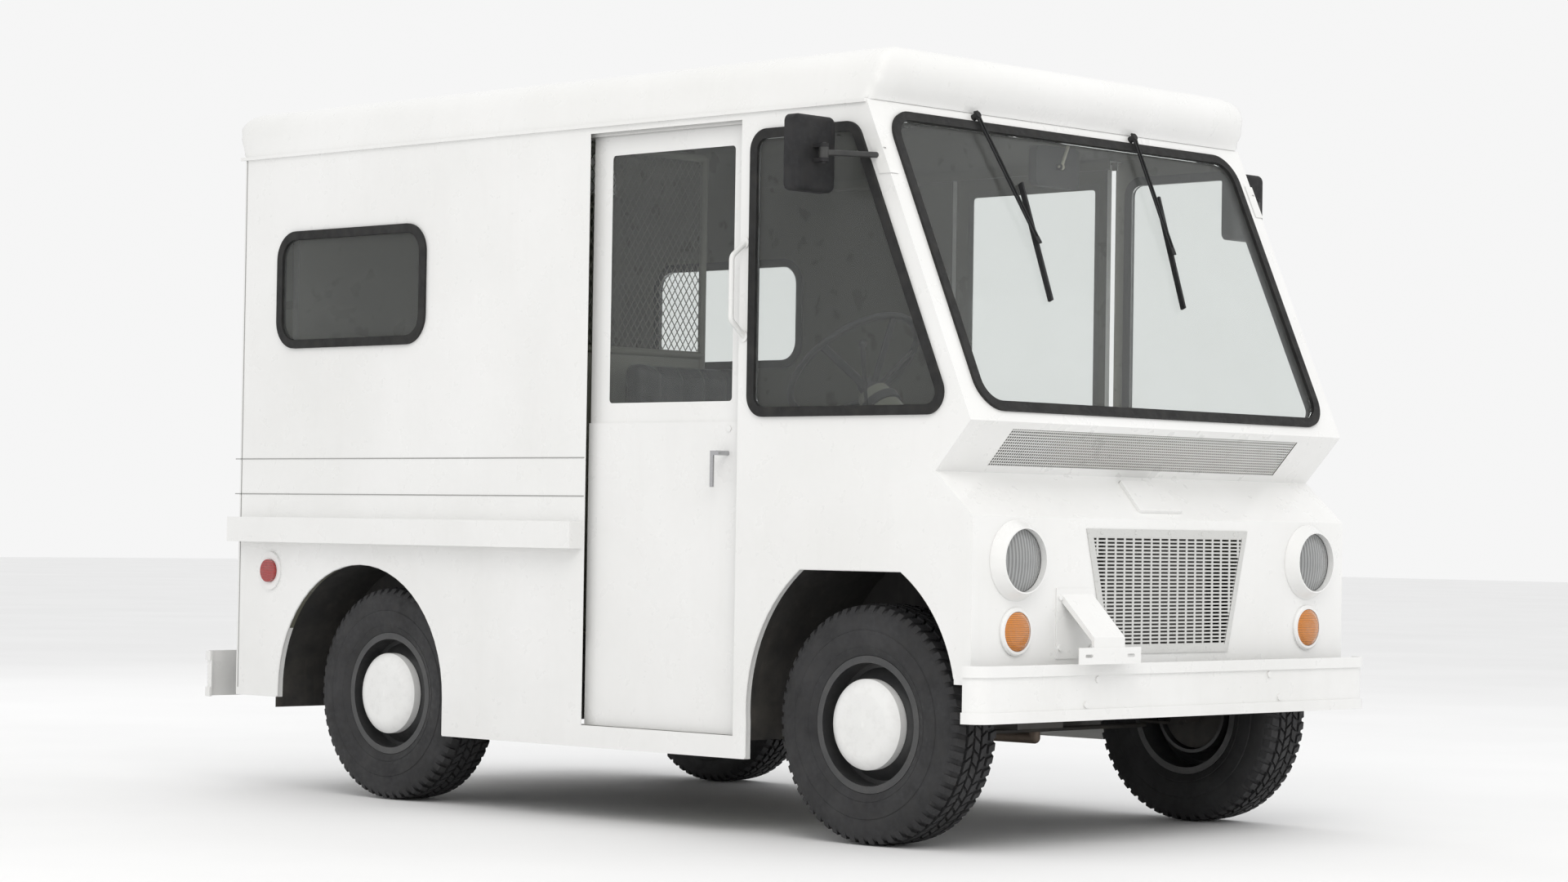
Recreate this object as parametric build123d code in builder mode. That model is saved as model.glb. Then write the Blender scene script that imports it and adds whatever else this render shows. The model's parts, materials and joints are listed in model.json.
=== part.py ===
from build123d import *
import os
from math import atan2, cos, degrees, hypot, radians, sin, sqrt

os.makedirs("parts", exist_ok=True)

# Driving sizes in mm. +Y points to the rear doors, +X to the truck's left, Z is up from the ground.
wheelbase = 2057.0
body_width = 1722.0
tyre_radius = 337.0
tyre_width = 196.0
front_axle_y = -1182.5
skin = 2.0
seat_gap = 0.3
run_gap = 0.05

# Body side, from front to rear
arch_front_clear = 28.0
arch_rear_clear = 87.0
arch_top_clear = 94.0
arch_flat_front = 164.0
arch_flat_rear = 217.0
arch_to_nose = 59.0
arch_to_door = 46.0
door_opening_width = 635.0
rear_arch_setback = 90.0
rear_arch_clear = 75.0
well_clear = 30.0
rear_arch_centre_z = 335.0
rear_overhang = 213.0
half = body_width / 2
inner_half = half - skin
rear_axle_y = front_axle_y + wheelbase
arch_front_y = front_axle_y - tyre_radius - arch_front_clear
arch_rear_y = front_axle_y + tyre_radius + arch_rear_clear
arch_top_z = 2 * tyre_radius + arch_top_clear
nose_y = arch_front_y - arch_to_nose
door_front_y = arch_rear_y + arch_to_door
door_rear_y = door_front_y + door_opening_width
rear_arch_y = rear_axle_y + rear_arch_setback
rear_arch_radius = tyre_radius + rear_arch_clear
rear_y = rear_arch_y + rear_arch_radius + rear_overhang

# Heights
sill_z = 219.0
door_bottom_z = 284.0
door_top_z = 2052.0
nose_bottom_z = 464.0
nose_top_z = 921.0
notch_z = 1043.0
ledge_z = 1181.0
eaves_z = 2080.0
roof_z = 2238.0
rear_bottom_z = 305.0
rail_bottom_z = 380.0
rail_top_z = 480.0
floor_sheet = 4.0
step_floor_z = 276.0
cargo_floor_z = 560.0

# Front profile setbacks behind the nose
notch_setback = 137.0
ledge_setback = 12.0
eaves_setback = 412.0
rake = (eaves_setback - ledge_setback) / (eaves_z - ledge_z)
notch_y = nose_y + notch_setback
ledge_y = nose_y + ledge_setback
eaves_y = nose_y + eaves_setback


def screen_y(z):
    """Y of the raked windscreen plane's outer face at height z."""
    return ledge_y + rake * (z - ledge_z)


def save(builder, name):
    builder.part.label = name
    export_step(builder.part, f"parts/{name}.step")


def outline(points, radius=0.0, growth=0.0):
    """A closed face through points, its corners rounded, then grown or shrunk."""
    with BuildSketch() as shape:
        with BuildLine():
            Polyline(*points, close=True)
        make_face()
        if radius > 0:
            fillet(shape.vertices(), radius)
        if growth != 0:
            offset(amount=growth, kind=Kind.ARC)
    return shape.sketch


def sheet_strip(points, thickness):
    """The closed polygon of a folded sheet: points on one face, the other face to their right."""
    back = []
    for i, (px, py) in enumerate(points):
        before = points[max(i - 1, 0)]
        after = points[min(i + 1, len(points) - 1)]
        a = atan2(py - before[1], px - before[0]) if i > 0 else None
        b = atan2(after[1] - py, after[0] - px) if i < len(points) - 1 else None
        first = a if a is not None else b
        last = b if b is not None else a
        bend = (last - first) / 2
        middle = first + bend
        reach = thickness / cos(bend)
        back.append((px + reach * sin(middle), py - reach * cos(middle)))
    return points + back[::-1]


# Window outlines as (y, z) on the body side, and (x, distance up the slope) on the windscreen
seal_width = 28.0
seal_proud = 9.0
seal_depth = 8.0
glass_thick = 5.0
panel_bite = 11.0
quarter_low_z = 1196.0
quarter_high_z = 2020.0
quarter_rear_y = door_front_y - 42.0
pillar_width = 55.0


def pillar_y(z):
    return screen_y(z) + pillar_width


quarter_points = [
    (quarter_rear_y, quarter_low_z),
    (quarter_rear_y, quarter_high_z),
    (pillar_y(quarter_high_z), quarter_high_z),
    (pillar_y(quarter_low_z), quarter_low_z),
]
quarter_corner = 62.0
side_window_front_y = rear_arch_y - 301.0
side_window_length = 739.0
side_window_low_z = 1441.0
side_window_high_z = 1823.0
side_window_points = [
    (side_window_front_y, side_window_low_z),
    (side_window_front_y, side_window_high_z),
    (side_window_front_y + side_window_length, side_window_high_z),
    (side_window_front_y + side_window_length, side_window_low_z),
]
side_window_corner = 92.0
screen_half = 800.0 / 861.0 * half
screen_low_z = 1209.0
screen_high_z = 2052.0
screen_corner = 92.0
slope = hypot(1.0, rake)
screen_tilt = degrees(atan2(rake, 1.0))
screen_plane = Plane(
    origin=(0, ledge_y, ledge_z), x_dir=(1, 0, 0), z_dir=(0, -1.0, rake)
)
screen_points = [
    (-screen_half, (screen_low_z - ledge_z) * slope),
    (-screen_half, (screen_high_z - ledge_z) * slope),
    (screen_half, (screen_high_z - ledge_z) * slope),
    (screen_half, (screen_low_z - ledge_z) * slope),
]

# Closed linkage-free running gear stations
wheel_x = half - 41.0 - tyre_width / 2
kingpin_x = wheel_x - 84.0
rail_x = 330.0
rail_width = 64.0
spring_x = 400.0
spring_width = 50.0
spring_half = 420.0
axle_top_z = tyre_radius + 38.0
housing_wall_x = 470.0
rear_housing_x = wheel_x - tyre_width / 2 - 24.0
rail_front_y = nose_y + 25.0
rail_rear_y = rear_y - 12.0

# Side panels: one folded-edge sheet a side with its openings
front_arch_top = [
    (front_axle_y + arch_flat_rear, arch_top_z),
    (front_axle_y - arch_flat_front, arch_top_z),
]


def front_arch(growth=0.0):
    """The flat-topped front arch, open at the bottom of the body."""
    rear = (arch_rear_y + growth, sill_z - 40.0)
    rear_low = (arch_rear_y + growth, tyre_radius - 15.0)
    rear_top = (front_arch_top[0][0] + growth / 2, arch_top_z + growth)
    front_top = (front_arch_top[1][0] - growth / 2, arch_top_z + growth)
    front_low = (arch_front_y - growth, nose_bottom_z + 16.0)
    front = (arch_front_y - growth, sill_z - 40.0)
    rear_mid = (rear_top[0] * 0.26 + rear_low[0] * 0.74, arch_top_z * 0.605 + rear_low[1] * 0.395)
    front_mid = (front_top[0] * 0.45 + front_low[0] * 0.55, arch_top_z * 0.66 + front_low[1] * 0.34)
    with BuildSketch() as shape:
        with BuildLine():
            Line(rear, rear_low)
            ThreePointArc(rear_low, rear_mid, rear_top)
            Line(rear_top, front_top)
            ThreePointArc(front_top, front_mid, front_low)
            Line(front_low, front)
            Line(front, rear)
        make_face()
    return shape.sketch


def rear_arch(growth=0.0):
    """The round rear arch with its straight legs down past the sill."""
    with BuildSketch() as shape:
        with Locations((rear_arch_y, rear_arch_centre_z)):
            Circle(rear_arch_radius + growth)
        with Locations((rear_arch_y, (rear_arch_centre_z + sill_z - 60.0) / 2)):
            Rectangle(2 * (rear_arch_radius + growth), rear_arch_centre_z - sill_z + 60.0)
    return shape.sketch


def rear_well(growth=0.0):
    """The rear arch widened forward round the wheel that stands ahead of its centre."""
    with BuildSketch() as shape:
        add(rear_arch(growth))
        with Locations((rear_axle_y, tyre_radius)):
            Circle(tyre_radius + well_clear + growth)
        with Locations((rear_axle_y, (tyre_radius + sill_z - 60.0) / 2)):
            Rectangle(2 * (tyre_radius + well_clear + growth), tyre_radius - sill_z + 60.0)
    return shape.sketch


side_points = [
    (rear_y, rear_bottom_z),
    (rear_y, eaves_z),
    (eaves_y, eaves_z),
    (ledge_y, ledge_z),
    (notch_y, notch_z),
    (nose_y, nose_top_z),
    (nose_y, nose_bottom_z),
    (arch_front_y + 10.0, nose_bottom_z),
    (arch_front_y + 10.0, sill_z),
    (rear_arch_y + rear_arch_radius - 20.0, sill_z),
    (rear_arch_y + rear_arch_radius - 20.0, rear_bottom_z),
]
body_outline = outline(side_points)
front_arch_face = front_arch()
rear_arch_face = rear_arch()
front_lip_face = front_arch(skin)
rear_lip_face = rear_arch(skin)
quarter_outer = outline(quarter_points, quarter_corner)
quarter_hole = outline(quarter_points, quarter_corner, -panel_bite)
quarter_inner = outline(quarter_points, quarter_corner, -seal_width)
quarter_pane = outline(quarter_points, quarter_corner, -seal_width - seat_gap)
side_outer = outline(side_window_points, side_window_corner)
side_hole = outline(side_window_points, side_window_corner, -panel_bite)
side_inner = outline(side_window_points, side_window_corner, -seal_width)
side_pane = outline(side_window_points, side_window_corner, -seal_width - seat_gap)
screen_outer = outline(screen_points, screen_corner)
screen_hole = outline(screen_points, screen_corner, -panel_bite)
screen_inner = outline(screen_points, screen_corner, -seal_width)
screen_pane = outline(screen_points, screen_corner, -seal_width - seat_gap)
arch_lip = 24.0

with BuildPart() as side_panel_right:
    with BuildSketch(Plane.YZ.offset(-half)):
        add(body_outline)
        add(front_arch_face, mode=Mode.SUBTRACT)
        add(rear_arch_face, mode=Mode.SUBTRACT)
        add(quarter_hole, mode=Mode.SUBTRACT)
        add(side_hole, mode=Mode.SUBTRACT)
        with Locations(((door_front_y + door_rear_y) / 2, (door_bottom_z + door_top_z) / 2)):
            Rectangle(door_opening_width, door_top_z - door_bottom_z, mode=Mode.SUBTRACT)
    extrude(amount=skin)
    with BuildSketch(Plane.YZ.offset(-inner_half)):
        add(front_lip_face)
        add(rear_lip_face)
        add(front_arch_face, mode=Mode.SUBTRACT)
        add(rear_arch_face, mode=Mode.SUBTRACT)
        with Locations(((arch_front_y + nose_y) / 2, sill_z)):
            Rectangle(rear_overhang, 2 * (nose_bottom_z - sill_z), mode=Mode.SUBTRACT)
        with Locations(((front_axle_y + rear_axle_y) / 2, sill_z - rear_arch_radius)):
            Rectangle(2 * wheelbase, 2 * rear_arch_radius, mode=Mode.SUBTRACT)
        with Locations((rear_arch_y + rear_arch_radius, sill_z)):
            Rectangle(rear_arch_radius, 2 * (rear_bottom_z - sill_z), mode=Mode.SUBTRACT)
    extrude(amount=arch_lip)
save(side_panel_right, "side_panel_right")

with BuildPart() as side_panel_left:
    mirror(side_panel_right.part, about=Plane.YZ)
save(side_panel_left, "side_panel_left")

# Front shell: nose, hood slope, undercut air inlet, windscreen surround and header
grille_top_half = 375.0
grille_bottom_half = 285.0
grille_top_z = 892.0
grille_bottom_z = 540.0
lamp_x = 677.0
lamp_z = 802.0
lamp_radius = 86.0
lamp_bezel = 112.0
turn_z = 607.0
turn_radius = 55.0
turn_ring = 67.0
inlet_half = 690.0
inlet_margin = 26.0
inlet_length = hypot(notch_setback - ledge_setback, ledge_z - notch_z)
inlet_plane = Plane(
    origin=(0, (notch_y + ledge_y) / 2, (notch_z + ledge_z) / 2),
    x_dir=(1, 0, 0),
    z_dir=(0, notch_z - ledge_z, ledge_y - notch_y),
)
hood_plane = Plane(
    origin=(0, nose_y, nose_top_z),
    x_dir=(1, 0, 0),
    z_dir=(0, nose_top_z - notch_z, notch_y - nose_y),
)
latch_points = [(-115.0, 27.0), (87.0, 27.0), (90.0, 159.0), (-86.0, 159.0)]
latch_proud = 10.0
latch_shape = outline(latch_points, 8.0)
wiper_pin_r = 5.0
wiper_pivot_z = 2066.0
wiper_s = (wiper_pivot_z - ledge_z) * slope
wiper_spots = [(-412.0, wiper_s), (312.0, wiper_s)]
front_points = [
    (nose_y, nose_bottom_z),
    (nose_y, nose_top_z),
    (notch_y, notch_z),
    (ledge_y, ledge_z),
    (eaves_y, eaves_z),
]
grille_points = [
    (-grille_top_half, grille_top_z),
    (grille_top_half, grille_top_z),
    (grille_bottom_half, grille_bottom_z),
    (-grille_bottom_half, grille_bottom_z),
]
grille_flange = 22.0
front_profile = outline(sheet_strip(front_points, skin))
grille_hole = outline(grille_points, 0.0, -grille_flange)

with BuildPart() as front_shell:
    with BuildSketch(Plane.YZ.offset(-inner_half)):
        add(front_profile)
    extrude(amount=2 * inner_half)
    with BuildSketch(Plane.XZ.offset(-nose_y)):
        add(grille_hole)
        with Locations((-lamp_x, lamp_z), (lamp_x, lamp_z)):
            Circle(lamp_radius)
        with Locations((-lamp_x, turn_z), (lamp_x, turn_z)):
            Circle(turn_radius - 8.0)
    extrude(amount=-3 * skin, mode=Mode.SUBTRACT)
    with BuildSketch(screen_plane):
        add(screen_hole)
    extrude(amount=40.0, both=True, mode=Mode.SUBTRACT)
    with BuildSketch(inlet_plane):
        Rectangle(2 * (inlet_half - inlet_margin), inlet_length - 2 * inlet_margin)
    extrude(amount=20.0, both=True, mode=Mode.SUBTRACT)
    with BuildSketch(hood_plane.offset(-1.0)):
        add(latch_shape)
    extrude(amount=1.0 + latch_proud)
    with BuildSketch(screen_plane):
        with Locations(*wiper_spots):
            Circle(wiper_pin_r + run_gap)
    extrude(amount=-3 * skin, mode=Mode.SUBTRACT)
save(front_shell, "front_shell")

with BuildPart() as cowl_mesh:
    with BuildSketch(inlet_plane.offset(-skin - 1.0)):
        Rectangle(2 * inlet_half, inlet_length - inlet_margin)
    extrude(amount=1.0)
save(cowl_mesh, "cowl_mesh")

# Roof: side coves, a front visor and a rear lip meet in mitred corners
roof_side_lean = 20.0
roof_side_z = 2181.0
roof_edge_run = 112.0
visor_reach = 44.0
visor_turn_z = 2133.0
visor_round = 26.0
rear_lip_reach = 66.0
rear_lip_z = 2172.0


def roof_cross(inset):
    """Half-round-edged cross section, |x| against z."""
    foot = (half - inset, eaves_z - inset / 2)
    knee = (half - roof_side_lean - inset, roof_side_z)
    top = (half - roof_edge_run, roof_z - inset)
    bulge = (half - roof_side_lean - inset - 24.0, roof_side_z + 38.0 - inset / 2)
    with BuildSketch() as shape:
        with BuildLine():
            Line(foot, knee)
            ThreePointArc(knee, bulge, top)
            Line(top, (0, roof_z - inset))
            Line((0, roof_z - inset), (0, foot[1]))
            Line((0, foot[1]), foot)
        make_face()
        mirror(about=Plane.YZ)
    return shape.sketch


def roof_long(inset):
    """Long section, y against z: visor at the front, lip at the back."""
    foot = (eaves_y + inset, eaves_z - inset / 2)
    turn = (eaves_y - visor_reach + 4.0 + inset, visor_turn_z)
    brow = (eaves_y - visor_reach + inset, roof_z - visor_round)
    front_top = (eaves_y - visor_reach + visor_round, roof_z - inset)
    brow_mid = (eaves_y - visor_reach + 0.3 * visor_round + 0.7 * inset, roof_z - 0.3 * visor_round - 0.7 * inset)
    rear_top = (rear_y + 8.0, roof_z - inset)
    lip = (rear_y + rear_lip_reach - inset, rear_lip_z)
    rear_mid = (rear_y + 47.0 - 0.7 * inset, roof_z - 18.0 - 0.7 * inset)
    rear_foot = (rear_y - inset, eaves_z - inset / 2)
    with BuildSketch() as shape:
        with BuildLine():
            Line(foot, turn)
            Line(turn, brow)
            ThreePointArc(brow, brow_mid, front_top)
            Line(front_top, rear_top)
            ThreePointArc(rear_top, rear_mid, lip)
            Line(lip, (rear_y + 20.0 - inset, eaves_z + 4.0))
            Line((rear_y + 20.0 - inset, eaves_z + 4.0), rear_foot)
            Line(rear_foot, foot)
        make_face()
    return shape.sketch


def roof_block(inset):
    cross = roof_cross(inset)
    lengthwise = roof_long(inset)
    with BuildPart() as block:
        with BuildSketch(Plane.XZ.offset(-rear_y - 200.0)):
            add(cross)
        extrude(amount=rear_y - nose_y + 400.0)
        with BuildSketch(Plane.YZ.offset(-half)):
            add(lengthwise)
        extrude(amount=2 * half, mode=Mode.INTERSECT)
    return block.part


roof_outer = roof_block(0.0)
roof_inner = roof_block(skin)
with BuildPart() as roof:
    add(roof_outer)
    add(roof_inner, mode=Mode.SUBTRACT)
save(roof, "roof")

# Rear wall with its doorway, the fixed hinge leaves and their pins
doorway_half = 650.0 / 861.0 * half
doorway_low_z = cargo_floor_z + 4.0
doorway_high_z = 1990.0
rear_wall_low_z = rail_top_z + 2.0
hinge_pin_r = 5.0
hinge_knuckle_r = 11.0
hinge_height = 90.0
hinge_leaf = 36.0
hinge_stations = (700.0, 1275.0, 1850.0)
hinge_x = doorway_half + 4.0
hinge_y = rear_y + hinge_knuckle_r + 3.0
hinge_third = hinge_height / 3
jamb_depth = 26.0

with BuildPart() as rear_wall:
    with BuildSketch(Plane.XZ.offset(-rear_y)):
        with Locations((0, (rear_wall_low_z + eaves_z) / 2)):
            Rectangle(2 * inner_half, eaves_z - rear_wall_low_z)
        with Locations((0, (doorway_low_z + doorway_high_z) / 2)):
            Rectangle(2 * doorway_half, doorway_high_z - doorway_low_z, mode=Mode.SUBTRACT)
    extrude(amount=skin)
    with BuildSketch(Plane.XZ.offset(-rear_y + skin)):
        with Locations((0, (doorway_low_z + doorway_high_z) / 2)):
            Rectangle(2 * doorway_half + 2 * skin, doorway_high_z - doorway_low_z + 2 * skin)
            Rectangle(2 * doorway_half, doorway_high_z - doorway_low_z, mode=Mode.SUBTRACT)
    extrude(amount=jamb_depth)
    for side in (-1, 1):
        for z in hinge_stations:
            for dz in (-hinge_third, hinge_third):
                with Locations((side * hinge_x, hinge_y, z + dz)):
                    Cylinder(hinge_knuckle_r, hinge_third - seat_gap)
                with Locations((side * (hinge_x + hinge_leaf / 2), rear_y + 2.0, z + dz)):
                    Box(hinge_leaf, 4.0, hinge_third - seat_gap)
                with Locations((side * hinge_x, (rear_y + hinge_y) / 2, z + dz)):
                    Box(8.0, hinge_y - rear_y, hinge_third - seat_gap)
            with Locations((side * hinge_x, hinge_y, z)):
                Cylinder(hinge_pin_r, hinge_height)
save(rear_wall, "rear_wall")

# Rear doors: hung leaf by leaf, hollow pans that close inside the doorway
rear_door_gap = 4.0
rear_door_depth = 24.0
rear_door_sheet = 1.5
rear_door_low_z = doorway_low_z + rear_door_gap
rear_door_high_z = doorway_high_z - rear_door_gap
rear_door_wide = doorway_half - rear_door_gap - rear_door_gap / 2
rear_door_x = (doorway_half - rear_door_gap + rear_door_gap / 2) / 2
rear_door_mid_z = (rear_door_low_z + rear_door_high_z) / 2


def rear_door(side):
    with BuildPart() as leaf:
        with Locations((side * rear_door_x, rear_y - rear_door_depth / 2, rear_door_mid_z)):
            Box(rear_door_wide, rear_door_depth, rear_door_high_z - rear_door_low_z)
        with Locations((side * rear_door_x, rear_y - rear_door_depth / 2 - rear_door_sheet, rear_door_mid_z)):
            Box(
                rear_door_wide - 2 * rear_door_sheet,
                rear_door_depth,
                rear_door_high_z - rear_door_low_z - 2 * rear_door_sheet,
                mode=Mode.SUBTRACT,
            )
        for z in hinge_stations:
            with Locations((side * (hinge_x - hinge_leaf / 2), rear_y + 2.0, z)):
                Box(hinge_leaf - 8.0, 4.0, hinge_third - seat_gap)
            with Locations((side * (hinge_x - 8.0), (rear_y + hinge_y) / 2, z)):
                Box(12.0, hinge_y - rear_y, hinge_third - seat_gap)
            with Locations((side * hinge_x, hinge_y, z)):
                Cylinder(hinge_knuckle_r, hinge_third - seat_gap)
                Cylinder(hinge_pin_r + run_gap, hinge_third, mode=Mode.SUBTRACT)
        if side < 0:
            with Locations((side * 60.0, rear_y + 4.0, 1180.0)):
                Box(50.0, 8.0, 120.0)
            with Locations((side * 60.0, rear_y + 34.0, 1180.0)):
                Box(22.0, 12.0, 120.0)
            with Locations((side * 60.0, rear_y + 20.0, 1230.0), (side * 60.0, rear_y + 20.0, 1130.0)):
                Box(22.0, 28.0, 16.0)
    return leaf


for side, name in ((-1, "right"), (1, "left")):
    save(rear_door(side), f"rear_door_{name}")

# Side rails: drip rails under the coves, rub rails behind the doors, and the sliding-door tracks
drip_proud = 8.0
drip_height = 10.0
rub_proud = 50.0
rub_low_z = 810.0
rub_high_z = 891.0
rub_front_y = door_rear_y + 10.0
door_inset = 27.0
door_depth = 28.0
door_overlap_front = 8.0
door_overlap_rear = 14.0
door_top_overlap = 10.0
door_travel = 520.0
door_outer_x = half - door_inset
door_inner_x = door_outer_x - door_depth
track_front_y = door_front_y - 22.0
track_rear_y = rear_axle_y - tyre_radius - well_clear - 14.0
track_wall = 3.0
track_clear = 3.0
track_top_z = door_top_z + door_top_overlap + 8.0
rail_length = track_rear_y - track_front_y
rail_mid_y = (track_rear_y + track_front_y) / 2

with BuildPart() as side_rails:
    with Locations((half + drip_proud / 2, (eaves_y + rear_y + 18.0) / 2, eaves_z - drip_height / 2)):
        Box(drip_proud, rear_y + 18.0 - eaves_y, drip_height)
    with Locations((half + rub_proud / 2, (rub_front_y + rear_y) / 2, (rub_low_z + rub_high_z) / 2)):
        Box(rub_proud, rear_y - rub_front_y, rub_high_z - rub_low_z)
    with Locations((half + rub_proud / 2 - 3.0, (rub_front_y + rear_y) / 2, (rub_low_z + rub_high_z) / 2)):
        Box(rub_proud, rear_y - rub_front_y - 6.0, rub_high_z - rub_low_z - 6.0, mode=Mode.SUBTRACT)
    with BuildSketch(Plane.XZ.offset(-track_rear_y)):
        with Locations((door_outer_x + track_clear + track_wall / 2, track_top_z - 13.0)):
            Rectangle(track_wall, 26.0)
        with Locations((door_inner_x - track_clear - track_wall / 2, track_top_z - 13.0)):
            Rectangle(track_wall, 26.0)
        with Locations(((inner_half + door_inner_x - track_clear - track_wall) / 2, track_top_z + 1.5)):
            Rectangle(inner_half - door_inner_x + track_clear + track_wall, 3.0)
        with Locations(((door_outer_x + door_inner_x) / 2, (step_floor_z + door_bottom_z - seat_gap) / 2)):
            Rectangle(12.0, door_bottom_z - seat_gap - step_floor_z)
    extrude(amount=rail_length)
    mirror(about=Plane.YZ)
save(side_rails, "side_rails")

# Window seals with a groove for the sheet, and their panes
with BuildPart() as window_seals:
    with BuildSketch(Plane.YZ.offset(-half - seal_proud)):
        add(quarter_outer)
        add(quarter_inner, mode=Mode.SUBTRACT)
        add(side_outer)
        add(side_inner, mode=Mode.SUBTRACT)
    extrude(amount=seal_proud + skin + seal_depth)
    with BuildSketch(Plane.YZ.offset(-half)):
        add(quarter_outer)
        add(side_outer)
        add(quarter_hole, mode=Mode.SUBTRACT)
        add(side_hole, mode=Mode.SUBTRACT)
    extrude(amount=skin, mode=Mode.SUBTRACT)
    mirror(about=Plane.YZ)
    with BuildSketch(screen_plane.offset(seal_proud)):
        add(screen_outer)
        add(screen_inner, mode=Mode.SUBTRACT)
    extrude(amount=-seal_proud - skin - seal_depth)
    with BuildSketch(screen_plane):
        add(screen_outer)
        add(screen_hole, mode=Mode.SUBTRACT)
    extrude(amount=-skin, mode=Mode.SUBTRACT)
save(window_seals, "window_seals")

with BuildPart() as side_glass:
    with BuildSketch(Plane.YZ.offset(-half + 1.0)):
        add(quarter_pane)
        add(side_pane)
    extrude(amount=glass_thick)
    mirror(about=Plane.YZ)
save(side_glass, "side_glass")

glass_back = 1.0
with BuildPart() as windscreen:
    with BuildSketch(screen_plane.offset(-glass_back)):
        add(screen_pane)
    extrude(amount=-glass_thick)
save(windscreen, "windscreen")

# Chassis: rails, cross members, floor bearers and the fuel tank
bearer_half = 780.0 / 861.0 * half
bearer_width = 50.0
step_front_y = arch_rear_y + skin + seat_gap + 3.0
step_rear_y = door_rear_y + 7.0
cross_depth = 70.0
cross_stations = (
    nose_y + 70.0,
    step_rear_y + 40.0,
    rear_axle_y - 330.0,
    rear_axle_y + 300.0,
    rear_y - 60.0,
)
bearer_stations = (step_rear_y + 40.0, (step_rear_y + rear_axle_y - 330.0) / 2, rear_axle_y - 405.0)
bearer_rear_stations = (rear_axle_y, rear_y - 60.0)
rail_length_y = rail_rear_y - rail_front_y
floor_under_z = cargo_floor_z - floor_sheet
tank_low_z = 300.0
tank_top_z = 470.0
tank_in_x = 440.0
tank_out_x = 780.0
tank_y0 = step_rear_y + 95.0
tank_y1 = rear_axle_y - 430.0

with BuildPart() as chassis_frame:
    for side in (-1, 1):
        with Locations((side * rail_x, (rail_front_y + rail_rear_y) / 2, (rail_bottom_z + rail_top_z) / 2)):
            Box(rail_width, rail_length_y, rail_top_z - rail_bottom_z)
        with Locations((side * (rail_x - 4.0), (rail_front_y + rail_rear_y) / 2, (rail_bottom_z + rail_top_z) / 2)):
            Box(rail_width, rail_length_y, rail_top_z - rail_bottom_z - 8.0, mode=Mode.SUBTRACT)
    for y in cross_stations:
        with Locations((0, y, rail_top_z - cross_depth / 2)):
            Box(2 * rail_x, 50.0, cross_depth)
            Box(2 * rail_x, 44.0, cross_depth - 6.0, mode=Mode.SUBTRACT)
    for y in bearer_stations:
        with Locations((0, y, (rail_top_z + floor_under_z) / 2)):
            Box(2 * bearer_half, bearer_width, floor_under_z - rail_top_z)
            Box(2 * bearer_half - 6.0, bearer_width - 6.0, floor_under_z - rail_top_z - 6.0, mode=Mode.SUBTRACT)
    for y in bearer_rear_stations:
        with Locations((0, y, (rail_top_z + floor_under_z) / 2)):
            Box(2 * (rear_housing_x - 10.0), bearer_width, floor_under_z - rail_top_z)
            Box(
                2 * (rear_housing_x - 13.0),
                bearer_width - 6.0,
                floor_under_z - rail_top_z - 6.0,
                mode=Mode.SUBTRACT,
            )
    with Locations(((rail_x + rail_width / 2 + tank_out_x) / 2, (tank_y0 + tank_y1) / 2, 430.0)):
        Box(tank_out_x - rail_x - rail_width / 2, tank_y1 - tank_y0 - 120.0, 20.0)
    with Locations(((tank_in_x + tank_out_x) / 2, (tank_y0 + tank_y1) / 2, (tank_low_z + tank_top_z) / 2)):
        Box(tank_out_x - tank_in_x, tank_y1 - tank_y0, tank_top_z - tank_low_z)
save(chassis_frame, "chassis_frame")

# Floors: cab floor, step wells, cargo floor with its riser, and the pockets under the sliding doors
well_half = rail_x + rail_width / 2
pocket_x = door_inner_x - 11.0
cab_hole_half = 250.0
cab_hole_front_y = nose_y + 30.0
cab_hole_rear_y = door_front_y + 237.0
housing_front_y = rear_axle_y - tyre_radius - well_clear - skin - seat_gap - 3.0
housing_rear_y = rear_arch_y + rear_arch_radius + skin + seat_gap + 3.0
driver_x = -420.0
cover_half = cab_hole_half + 12.0
seat_rear_y = step_rear_y + 75.0
seat_front_y = seat_rear_y - 470.0
seat_plate_z = 800.0
pedestal_x0 = -well_half + 2.0
pedestal_x1 = -cover_half - 6.0
pedestal_y0 = seat_front_y + 60.0
pedestal_y1 = seat_rear_y - 90.0
runner_reach = 140.0
pedal_x = -330.0
pedal_pivot = (nose_y + 151.0, 524.0)
pedal_pin_r = 5.0
pedal_ears = (pedal_x - 12.0, pedal_x + 12.0)


def slab(x0, x1, y0, y1, z0, z1, mode=Mode.ADD):
    """A box between two corners, in the part being built."""
    with Locations(((x0 + x1) / 2, (y0 + y1) / 2, (z0 + z1) / 2)):
        Box(abs(x1 - x0), abs(y1 - y0), abs(z1 - z0), mode=mode)


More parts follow.
